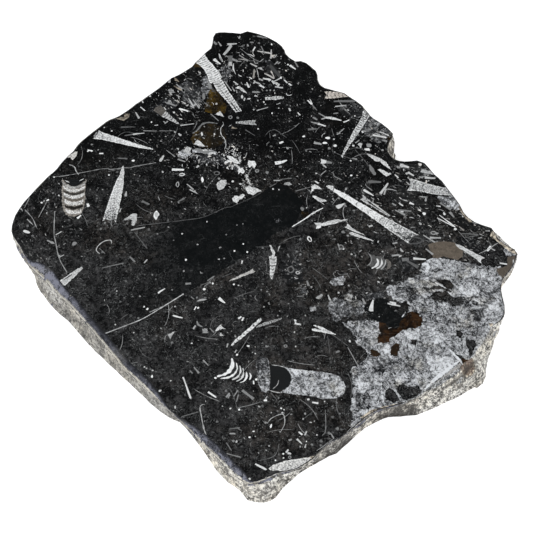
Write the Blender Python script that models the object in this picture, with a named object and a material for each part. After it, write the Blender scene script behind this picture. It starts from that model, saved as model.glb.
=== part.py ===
"""Slab of black fossil limestone: one stone, polished above and sawn flat below.

The polished face lies level at SLAB_THICKNESS. Its outline is a broken edge with rough walls,
and one long side carries a shallow ground bevel. Plan sizes are in millimetres, seen from above,
with the origin under the middle of the slab.
"""
import math

import bmesh
import bpy
from mathutils import Vector, noise

MM = 0.001

# Driving dimensions, in millimetres
SLAB_THICKNESS = 22.0
OUTLINE_STEP = 4.5
ARRIS_WIDTH = 0.7
ARRIS_DROP = 0.25
BEVEL_SLOPE = 0.22
CHIP_SLOPE = 0.75
BROKEN_LIP_WIDTH = 0.9
BROKEN_LIP_DROP = 1.6
WALL_ROUGHNESS = 1.5
ROUGHNESS_WAVELENGTH = 13.0
RIM_ROUGHNESS = 0.35
RIM_WAVELENGTH = 6.0

# The edge of the polish, clockwise from the horn at the far left. Each row holds
# x, y, the width of the ground bevel inside it, the width of the chipped ledge outside it,
# and how far the foot of the wall stands out past it.
EDGE_ROWS = (
    # far side, from the horn to the notch
    (-41.5, 200.0, 0, 0, 1), (-34, 201, 0, 0, 2), (-26, 200.2, 0, 0, 1), (-20, 199.3, 0, 0, 0),
    (-14, 202, 0, 0, -1), (-8, 200.3, 0, 0, 0), (0, 197, 0, 0, 2), (6, 193.5, 0, 0, 1),
    (11, 189.5, 0, 0, -1), (15.5, 185, 0, 0, -2), (18, 180, 0, 0, 0), (18.8, 176.5, 0, 0, 2),
    (22, 171.7, 0, 0, 3), (27, 167.8, 0, 0, 2), (31.5, 168.2, 0, 0, 0), (36, 166, 0, 0, -1),
    (40, 161.8, 0, 0, 0), (44, 157.3, 0, 0, 1), (45.3, 153, 0, 0, 0), (45, 148, 0, 0, 2),
    (47, 142.3, 0, 0, 3), (51, 138.8, 0, 0, 2), (60, 135.5, 0, 0, 0), (67, 133, 0, 0, -1),
    (71, 129.3, 0, 0, 0), (77, 124.3, 0, 0, 1), (81, 119.8, 0, 0, 2), (85, 113.3, 0, 0, 0),
    (87.5, 108.8, 0, 0, 1), (96, 101.4, 0, 0, 2), (101, 96, 0, 0, 1), (104.6, 91.3, 0, 0.5, 2),
    # the notch and the shoulder beyond it
    (104, 87.3, 0, 2.5, 5), (101.6, 83, 0, 4.5, 7), (100.2, 78, 0, 4, 6), (100, 73, 0, 2, 4),
    (101.5, 69, 0, 0.5, 2), (105, 65.5, 0, 0, 1), (112, 63.3, 0, 0, 0), (122, 64.3, 0, 0, 1),
    (127.5, 61.8, 0, 0, 2), (130.7, 57, 0, 0, 1), (134.5, 51, 0, 0, 0), (140, 44.5, 0, 0, 1),
    (143, 38.5, 0, 0, 2), (147.3, 30.5, 0, 0, 1), (151.2, 23, 0, 0, 0), (154, 15, 0, 0.5, 1),
    (157, 10.3, 0, 0.5, 2), (161.5, 6.3, 0, 0, 3), (167, 3.8, 0, 0, 2), (173.5, 1.2, 0, 0.5, 1),
    # the right point, broken back in a sloping ledge
    (175.3, -2.5, 0, 4.5, 5), (177, -7.5, 0, 6, 7), (180.5, -12, 0, 6.3, 7), (184.5, -15.3, 0, 5, 6),
    (188.4, -17.8, 0, 3, 4), (190.2, -21.7, 0, 0.8, 2), (188.3, -27.5, 0, 0.8, 1),
    (185.2, -33, 0, 0.6, 0), (180.8, -39, 0, 0.3, 0), (176.8, -43.5, 0, 0.3, 1),
    (174.6, -49.5, 0, 0.3, 1), (174.4, -57, 0, 0.5, 1), (175.2, -65, 0, 0, 2),
    (174.8, -71, 0, 0, 1), (171.5, -77.5, 0, 1, 2),
    # the corner broken away at the lower right
    (165.5, -81.3, 0, 4, 5), (161.5, -87, 0, 5, 7), (157.5, -93.5, 0, 5, 8), (151.5, -101, 0, 6, 12),
    (147.5, -107.5, 0, 7, 14.5), (142, -111.5, 0, 8, 13.5), (138.5, -116.5, 1.5, 8, 10.5),
    (131.5, -123, 3, 5, 7.5), (124, -127.8, 3, 4, 6), (114.5, -131.5, 1, 3.5, 7), (106, -137, 0, 1.5, 5),
    # the near side, in and out to the near point
    (100, -139.5, 0, 0, 2.5), (92, -142.4, 0, 0, 0), (85, -144.5, 0, 0, -0.5), (78, -146.5, 0, 0.5, 0.5),
    (71, -150.7, 0, 1.5, 0.5), (66, -155, 0, 1.5, 0.5), (60.5, -160, 0, 1, 0.5), (55, -164.3, 0, 0, 1),
    (49.5, -167, 0, 0, 2.8), (44.5, -169.8, 0, 0, 2), (39, -175.2, 0, 0.5, 0), (34, -180.3, 0, 1, -2),
    (27, -185.3, 0, 1, -2.3), (20, -188.4, 0, 0.5, -0.5), (12, -190, 0, 0.5, 4.5), (5, -192.7, 0, 1.5, 8.5),
    (-2, -195.6, 0, 2, 8.8), (-9, -197, 1, 1.5, 5.2),
    # the long ground side
    (-14.5, -194.6, 4.5, 0, 1.5), (-22, -188, 5, 0, 2.5), (-31, -179, 5.5, 0, 2.3),
    (-37.5, -173, 5.5, 0, 0), (-46.5, -163.5, 4.5, 0, -2), (-55, -154.6, 1.5, 0, -3),
    (-61, -148.8, 0, 0, -3.2), (-67, -143.2, 0.5, 0, -0.5), (-76, -134.5, 3.5, 0, 1.2),
    (-87, -124, 5, 0, 0.8), (-96, -116, 5, 0, 1), (-104, -106.8, 5, 0, 2), (-113, -96, 5, 0, 3.5),
    (-121, -86.5, 4.5, 0, 5), (-131, -75, 5, 0, 5.2), (-141, -64, 5.5, 0, 5), (-152, -53.8, 6.5, 0, 5.5),
    (-161, -43.7, 8, 0, 5), (-169, -36, 7, 0, 3), (-174.7, -30.7, 3.5, 0.5, -1),
    # the left point, chipped along its near side
    (-177.5, -25.3, 0.5, 2, -2), (-181, -18.7, 0, 2.5, -2), (-184.7, -12.7, 0, 2, -1.5),
    (-189, -7.2, 0, 0.6, -1), (-191, -1.5, 0, 0, 0), (-191.3, 3, 0, 0, 1), (-190, 12, 0, 0, 1),
    (-186.5, 21.5, 0, 0, 0),
    # the far left side, back to the horn
    (-182, 29, 0, 0, -1), (-172, 44.5, 0, 0, 1), (-167.5, 50.7, 0, 0, 2), (-163, 56, 0, 0, 1),
    (-160, 61.7, 0, 0, 0), (-155.3, 69, 0, 0, 1), (-151.7, 73.5, 0, 0, 2), (-148.5, 80, 0, 0, 1),
    (-142, 88, 0, 0, -1), (-131, 100, 0, 0, 0), (-125.5, 105.2, 0, 0, 2), (-118, 109, 0, 0, 2),
    (-110, 116, 0, 0, 0), (-105, 121.7, 0, 0, -1), (-100, 126, 0, 0, 0), (-87, 138.5, 0, 0, 2),
    (-81, 145, 0, 0, 1), (-77, 149.5, 0, 0, 2), (-71, 153.3, 0, 0, 1), (-60.5, 161.8, 0, 0, -1),
    (-57.5, 166.5, 0, 0, 0), (-49, 178, 0, 0, 1), (-45, 182.5, 0, 0, 3), (-43.8, 188, 0, 0, 2),
    (-43.4, 195.5, 0, 0, 1),
)

# Rings of the wall from the foot up: height as a share of the wall, share of the foot's lean,
# and share of the full roughness.
WALL_RINGS = (
    (0.0, 1.0, 0.3),
    (0.16, 1.02, 1.0),
    (0.38, 0.78, 1.0),
    (0.62, 0.45, 0.9),
    (0.84, 0.2, 0.7),
)

LIMESTONE_COLOUR = (0.012, 0.011, 0.012, 1.0)
LIMESTONE_ROUGHNESS = 0.12


def clear_scene():
    for old in list(bpy.data.objects):
        bpy.data.objects.remove(old, do_unlink=True)


def catmull_rom(before, start, end, after, share):
    """Point of the smooth curve from start to end, for rows of any length."""
    square = share * share
    cube = square * share
    return [
        0.5 * (2 * b + (c - a) * share + (2 * a - 5 * b + 4 * c - d) * square + (3 * b - a - 3 * c + d) * cube)
        for a, b, c, d in zip(before, start, end, after)
    ]


def smooth_edge(rows, step):
    """The closed edge through the rows, with a point about every step."""
    edge = []
    for index, start in enumerate(rows):
        before = rows[index - 1]
        end = rows[(index + 1) % len(rows)]
        after = rows[(index + 2) % len(rows)]
        length = math.dist(start[:2], end[:2])
        pieces = max(1, round(length / step))
        for piece in range(pieces):
            edge.append(catmull_rom(before, start, end, after, piece / pieces))
    return edge


def outward_normals(edge):
    """Unit vectors in the plan that point out of the clockwise edge."""
    normals = []
    for index, point in enumerate(edge):
        before = edge[index - 1]
        after = edge[(index + 1) % len(edge)]
        along = Vector((after[0] - before[0], after[1] - before[1])).normalized()
        normals.append(Vector((-along.y, along.x)))
    return normals


def roughen(edge, normals):
    """Push the edge in and out a little, as the stone broke."""
    rough = []
    for row, normal in zip(edge, normals):
        place = Vector((row[0], row[1], 0.0)) / RIM_WAVELENGTH
        push = noise.noise(place) * RIM_ROUGHNESS
        rough.append([row[0] + normal.x * push, row[1] + normal.y * push] + row[2:])
    return rough


def ledge_of(row):
    """How far the chipped ledge reaches out, and how far it drops."""
    width = max(row[3], 0.0) + BROKEN_LIP_WIDTH
    drop = max(row[3], 0.0) * CHIP_SLOPE + BROKEN_LIP_DROP
    return width, drop


def bevel_of(row):
    """How wide the bevel inside the edge is, and how far it drops."""
    width = max(row[2], 0.0) + ARRIS_WIDTH
    drop = max(row[2], 0.0) * BEVEL_SLOPE + ARRIS_DROP
    return width, drop


def wall_ring(bm, edge, normals, ring):
    """One level of the broken wall, below the chipped ledge."""
    height_share, lean_share, roughness_share = ring
    verts = []
    for row, normal in zip(edge, normals):
        ledge_width, ledge_drop = ledge_of(row)
        ledge_height = SLAB_THICKNESS - bevel_of(row)[1] - ledge_drop
        height = ledge_height * height_share
        place = Vector((row[0], row[1], height * 1.6)) / ROUGHNESS_WAVELENGTH
        rough = noise.noise(place) * WALL_ROUGHNESS * roughness_share
        out = ledge_width + (row[4] - ledge_width) * lean_share + rough
        verts.append(bm.verts.new(Vector((row[0] + normal.x * out, row[1] + normal.y * out, height)) * MM))
    return verts


def edge_ring(bm, edge, normals, reach_and_drop):
    """A level that follows the edge of the polish, reached out and dropped row by row."""
    verts = []
    for row, normal in zip(edge, normals):
        out, drop = reach_and_drop(row)
        height = SLAB_THICKNESS - drop
        verts.append(bm.verts.new(Vector((row[0] + normal.x * out, row[1] + normal.y * out, height)) * MM))
    return verts


def ledge_level(row):
    width, drop = ledge_of(row)
    return width, bevel_of(row)[1] + drop


def rim_level(row):
    return 0.0, bevel_of(row)[1]


def face_level(row):
    return -bevel_of(row)[0], 0.0


def skin_between(bm, lower, upper):
    """Walls between two rings that run clockwise."""
    count = len(lower)
    for index in range(count):
        following = (index + 1) % count
        bm.faces.new((lower[following], lower[index], upper[index], upper[following]))


def limestone():
    material = bpy.data.materials.new("black_limestone")
    material.use_nodes = True
    shader = material.node_tree.nodes["Principled BSDF"]
    shader.inputs["Base Color"].default_value = LIMESTONE_COLOUR
    shader.inputs["Roughness"].default_value = LIMESTONE_ROUGHNESS
    shader.inputs["Metallic"].default_value = 0.0
    material.diffuse_color = LIMESTONE_COLOUR
    return material


def build_slab(collection):
    edge = smooth_edge([list(row) for row in EDGE_ROWS], OUTLINE_STEP)
    edge = roughen(edge, outward_normals(edge))
    normals = outward_normals(edge)

    bm = bmesh.new()
    rings = [wall_ring(bm, edge, normals, ring) for ring in WALL_RINGS]
    rings += [edge_ring(bm, edge, normals, level) for level in (ledge_level, rim_level, face_level)]
    for lower, upper in zip(rings, rings[1:]):
        skin_between(bm, lower, upper)
    bm.faces.new(rings[0])
    bm.faces.new(list(reversed(rings[-1])))
    bm.normal_update()
    bmesh.ops.triangulate(bm, faces=bm.faces[:])

    mesh = bpy.data.meshes.new("fossil_slab")
    bm.to_mesh(mesh)
    bm.free()
    mesh.materials.append(limestone())
    slab = bpy.data.objects.new("fossil_slab", mesh)
    collection.objects.link(slab)
    return slab


def main():
    clear_scene()
    collection = bpy.data.collections.new("orthoceras_fossil_slab")
    bpy.context.scene.collection.children.link(collection)
    build_slab(collection)


main()
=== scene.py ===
import math
import random

import bmesh
import bpy
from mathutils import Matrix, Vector, geometry, noise


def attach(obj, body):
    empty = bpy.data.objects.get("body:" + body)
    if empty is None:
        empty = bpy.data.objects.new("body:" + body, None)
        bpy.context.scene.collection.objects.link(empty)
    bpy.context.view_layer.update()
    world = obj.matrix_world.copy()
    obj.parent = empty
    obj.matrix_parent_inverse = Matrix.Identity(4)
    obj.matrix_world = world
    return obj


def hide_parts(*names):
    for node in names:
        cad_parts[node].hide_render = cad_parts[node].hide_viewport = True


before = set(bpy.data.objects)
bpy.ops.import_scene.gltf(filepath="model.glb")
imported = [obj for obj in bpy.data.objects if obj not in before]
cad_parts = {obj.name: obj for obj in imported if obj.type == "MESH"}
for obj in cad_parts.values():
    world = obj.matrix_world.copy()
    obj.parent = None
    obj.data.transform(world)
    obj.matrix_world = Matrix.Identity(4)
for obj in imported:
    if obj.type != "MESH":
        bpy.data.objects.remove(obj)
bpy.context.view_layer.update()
mm = 0.001  # the shells below are placed in millimetres, from the middle of the slab
print("frame loaded")


# Long shells cut lengthwise. left and right run from the narrow end to the mouth, and mouth
# joins their ends. pale goes from 0, black, to 1, white; warm is how rusty the calcite is;
# chamber is the distance between the chamber walls, 0 where none show.
longShells = {
    "leftSpear": dict(
        left=[(-111.3, 58.5), (-113, 50), (-115.5, 43), (-119.5, 25), (-122.6, 7.2)],
        mouth=[(-120, 8.8), (-117, 8.1), (-114.6, 8.8)],
        right=[(-110.4, 59), (-109.2, 50), (-109.3, 40), (-110, 27), (-112.4, 6.2)],
        pale=0.9, coarse=1.25),
    "farLeftSpear": dict(
        left=[(-88, 75.6), (-100, 80), (-120, 88), (-128, 91.3), (-133, 94)],
        mouth=[(-133.8, 91), (-134.6, 88.6)],
        right=[(-88, 75), (-92, 75.4), (-103, 77.5), (-130, 85), (-137, 86)],
        pale=0.94),
    "farLeftSpearCap": dict(
        left=[(-133.9, 93), (-135.2, 92)],
        mouth=[(-136, 90), (-137, 88.4)],
        right=[(-134.6, 90), (-136, 87.4)],
        pale=0.5),
    "farSpearNeck": dict(
        left=[(-22.6, 112.6), (-30, 124), (-38.6, 136), (-41, 141), (-42.6, 145.4)],
        mouth=[(-40, 145.2), (-37, 146.4)],
        right=[(-17.6, 114), (-24.1, 126.4), (-28.1, 133), (-34.4, 146.8)],
        pale=0.9, chamber=2.7),
    "farSpearBody": dict(
        left=[(-44.8, 144.2), (-48, 154), (-50.4, 159), (-54, 163.4), (-60, 168.5)],
        mouth=[(-58, 178)],
        right=[(-35, 146.4), (-37, 153.4), (-39, 158), (-47, 169.4), (-52, 179)],
        pale=0.97, chamber=2.2, narrowEnd=[(-43.4, 143.4), (-37.8, 144.8)]),
    "edgeTube": dict(
        left=[(50.4, 134.6), (55, 134.6), (62, 133.9), (68, 134), (74, 135)],
        mouth=[(76, 130)],
        right=[(50.4, 127.2), (58, 127.3), (65, 128.7), (74, 129.6)],
        pale=0.86, warm=0.45, chamber=3.1, narrowEnd=[(52.4, 131)]),
    "slantSpear": dict(
        left=[(62, 68.4), (64, 74), (73, 94), (77, 101), (80, 108), (81.6, 114)],
        mouth=[(85, 116)],
        right=[(62.8, 66.8), (65.9, 73.4), (78.7, 94.8), (86.8, 109.6)],
        pale=0.94, chamber=2.4, coarse=1.2),
    "upperFork": dict(
        left=[(82.4, 70.9), (87, 69.4), (92, 66.6), (97.2, 62.8), (98.4, 60)],
        mouth=[(100.9, 55)],
        right=[(82.2, 70.2), (88.8, 63.6), (90.2, 63.2), (92.6, 63.4), (94, 60.8), (97, 58.2)],
        pale=0.82),
    "lowerFork": dict(
        left=[(90.4, 55.8), (93.2, 55.4), (97, 53), (99.6, 50.8)],
        mouth=[(98.6, 49.8), (96.8, 48.8)],
        right=[(90.4, 55), (93.6, 51.4)],
        pale=0.85),
    "longSpearTip": dict(
        left=[(48.6, 39.8), (51.4, 40.2), (54.6, 39.6)],
        mouth=[(54.8, 37.6)],
        right=[(49.2, 38.8), (54, 35.2)],
        pale=0.86),
    "longSpear": dict(
        left=[(55.4, 37.2), (64.2, 32), (92, 11.4), (117.6, -5.2)],
        mouth=[(114.4, -6), (112, -8), (110.4, -10.8)],
        right=[(54.2, 34.6), (77.3, 15.4), (96.1, -1.6), (109.8, -13.2)],
        pale=1, chamber=5.6, coarse=0.72),
    "hookCone": dict(
        left=[(47.6, 22), (45, 24.6), (49.2, 25.4)],
        mouth=[(48.6, 26.4)],
        right=[(44, 24.2), (38.2, 29.4), (38.6, 30.4), (41, 30), (44.6, 27.8)],
        pale=0.8),
    "middleCone": dict(
        left=[(64.6, 9), (60, 8.2), (56, 8.6), (50, 7.1), (45, 5.3), (41.6, 5.6), (38.8, 5.4)],
        mouth=[(40.8, 3), (40.2, 0.4), (43.4, 0.8)],
        right=[(64.2, 8), (59, 6.6), (54, 4.6), (48, 3.2), (44.2, 2.8)],
        pale=0.84),
    "splitCone": dict(
        left=[(76.8, -5), (72, -2.4), (68, 0.6), (64.2, 4.8)],
        mouth=[(63.4, 2.6), (61.8, 1.8)],
        right=[(76.2, -5.2), (71, -3.6), (66, -0.8)],
        pale=0.82),
    "splitConeLower": dict(
        left=[(83.2, -10.4), (70, -4), (66, -2.6)],
        mouth=[(65.2, -4)],
        right=[(83, -10.9), (68, -5.8)],
        pale=0.84),
    "needlePair": dict(
        left=[(96.4, 11.9), (91.9, 15.6), (77, 31.6)],
        mouth=[(77, 29), (75.2, 26.9)],
        right=[(96.2, 11.6), (89.6, 15.8), (85.9, 19), (77.8, 24.8)],
        pale=0.7, chamber=4.6),
    "rightTube": dict(
        left=[(113.4, 47.2), (120, 45.2), (127, 42.2), (140, 38.2), (149, 38)],
        mouth=[(150, 34)],
        right=[(111.4, 35.4), (120, 35), (134, 31.6), (149, 30.4)],
        pale=0.82, chamber=6.6, coarse=1.5, narrowEnd=[(114.8, 44), (114, 38.6)]),
    "pointSpear": dict(
        left=[(144.8, -12.9), (150, -15.8), (165.4, -25.6)],
        mouth=[(162.6, -26.8), (162, -28.2)],
        right=[(144.8, -14.6), (150, -19.8), (162.6, -30.4)],
        pale=0.82),
    "cornerCone": dict(
        left=[(-134.8, -33), (-140, -36.8), (-150.2, -45.6)],
        mouth=[(-149.6, -48), (-147.6, -49)],
        right=[(-133.6, -34.4), (-138, -40.4), (-145.2, -48.8)],
        pale=0.78),
    "fadedCone": dict(
        left=[(-68.6, 101), (-71.6, 105.2), (-76, 109.4), (-79.6, 113.8)],
        mouth=[(-82, 112)],
        right=[(-69.4, 100.6), (-83.4, 108.8)],
        pale=0.76, chamber=2.6),
    "fadedConeMouth": dict(
        left=[(-79.6, 113.8), (-84.4, 120)],
        mouth=[(-88, 118.4), (-90.4, 114.6)],
        right=[(-83.4, 108.8), (-87, 112.2)],
        pale=0.3, warm=0.45),
    "shortCone": dict(
        left=[(-22.4, 102.6), (-18, 103.6), (-6.2, 104.6)],
        mouth=[(-7, 102), (-5.6, 99.4)],
        right=[(-22.4, 101.4), (-8, 99.8)],
        pale=0.66, chamber=2.1),
    "farSliver": dict(
        left=[(-13.4, 132.8), (-16.6, 137.4), (-20.4, 140.6)],
        mouth=[(-22.2, 140.2)],
        right=[(-14.2, 133), (-18.4, 135.4), (-21.4, 138.8)],
        pale=0.82),
    "waistedTube": dict(
        left=[(1.2, 129), (4.6, 128.6), (7.2, 128.9), (10, 130), (16.6, 129)],
        mouth=[(16.9, 128)],
        right=[(1.8, 125.6), (7.2, 126), (10, 125.6), (16.4, 127.2)],
        pale=0.78, chamber=2.4),
    "rodCone": dict(
        left=[(-22.6, -97), (-19.2, -92.6), (-3.2, -76.6)],
        mouth=[(-1.6, -75.4), (-0.8, -77.4)],
        right=[(-21.8, -97.9), (-17.6, -93.8), (-13, -90), (-4, -80.8)],
        pale=0.96, chamber=3.2),
    "beadedCone": dict(
        left=[(13.6, -75.4), (2, -79), (-4.6, -82.2)],
        mouth=[(-4.8, -83.8)],
        right=[(13.8, -76.2), (8, -79), (-2.6, -83)],
        pale=0.62, chamber=1.7),
    "brushCone": dict(
        left=[(-25.2, -45), (-14.6, -39), (-10, -36.8), (-7.6, -34.8)],
        mouth=[(-7.2, -36.4), (-5.6, -37)],
        right=[(-25, -45.4), (-19, -43.2), (-10.4, -39), (-6.8, -38.4)],
        pale=0.78, warm=0.15),
    "hangingCone": dict(
        left=[(5.9, -43.8), (5, -40), (5.2, -34), (4.4, -24.2)],
        mouth=[(7, -23.6), (10.2, -24.6)],
        right=[(6.6, -43.6), (7.8, -39.6), (9.8, -30)],
        pale=0.86, chamber=2.9),
    "hangingConeTail": dict(
        left=[(6.8, -24.4), (6.8, -21.6), (4.7, -14)],
        mouth=[(6, -14.4), (7, -17.2)],
        right=[(8.6, -24.2), (8.8, -21.6), (8.4, -19)],
        pale=0.85),
    "twinSplinters": dict(
        left=[(51.8, -88.6), (43.4, -83.6), (37.2, -81.3), (35.8, -81.6)],
        mouth=[(39, -83.4), (42, -85), (38, -84.6), (35, -84.2)],
        right=[(51.4, -89), (47, -88.3), (35, -85.5)],
        pale=0.93),
    "nearLeaf": dict(
        left=[(3.8, -187.2), (7, -184.8), (16, -181.7), (31, -179.6)],
        mouth=[(33, -181.4)],
        right=[(5, -188.6), (15, -188.9), (26, -186.8), (30, -184.6)],
        pale=0.94, warm=0.1, coarse=1.25),
    "blockByEdge": dict(
        left=[(124.6, 56), (130, 54.2), (140, 51.6)],
        mouth=[(140, 49.6)],
        right=[(123.6, 52.8), (136, 50)],
        pale=0.7),
}


def chamberedTube():
    # a fat tube standing across the left corner: its walls, then the bands of its chambers
    mouthHeight, cup = 39.2, 7.0

    def sagging(height, sag, reach, count=9):
        below = mouthHeight - height
        middle, half = -147.8 + 0.09 * below, reach * (9.4 - 0.06 * below)
        spread = [2 * k / (count - 1) - 1 for k in range(count)]
        return [(middle + half * u, height + sag * (reach * u) ** 2) for u in spread]

    wall = [(-138.2, 38.5), (-137.9, 27.8), (-137.8, 21.2), (-138.7, 16), (-140.4, 13.3), (-145, 10.9),
            (-149, 12), (-151.4, 13.6), (-153.2, 16), (-154.5, 21.2), (-155.8, 27.8), (-157.2, 38.5)]
    pieces = [dict(outline=sagging(mouthHeight, cup, 1.0) + wall, pale=0.58, warm=0.45)]
    # height at the middle, thickness, sag, how much of the width it fills, pale, warm
    bands = [(38, 2.2, 5.2, 0.95, 0.72, 0.1), (34.9, 2.4, 4.6, 0.92, 1.0, 0.1),
             (31.9, 2.1, 4.0, 0.93, 0.2, 0.6), (29.1, 2.9, 3.8, 0.88, 1.0, 0.1),
             (26.1, 1.8, 3.4, 0.9, 0.36, 0.6), (23, 3.1, 3.3, 0.86, 1.0, 0.1),
             (18.9, 2.7, 3.0, 0.86, 0.1, 0.7), (14.9, 3.3, 2.6, 0.74, 0.98, 0.15)]
    for height, thickness, sag, reach, pale, warm in bands:
        upper = sagging(height + thickness / 2, sag, reach)
        lower = sagging(height - thickness / 2, sag, reach)
        pieces.append(dict(outline=upper + lower[::-1], pale=pale, warm=warm))
    return pieces


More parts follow.
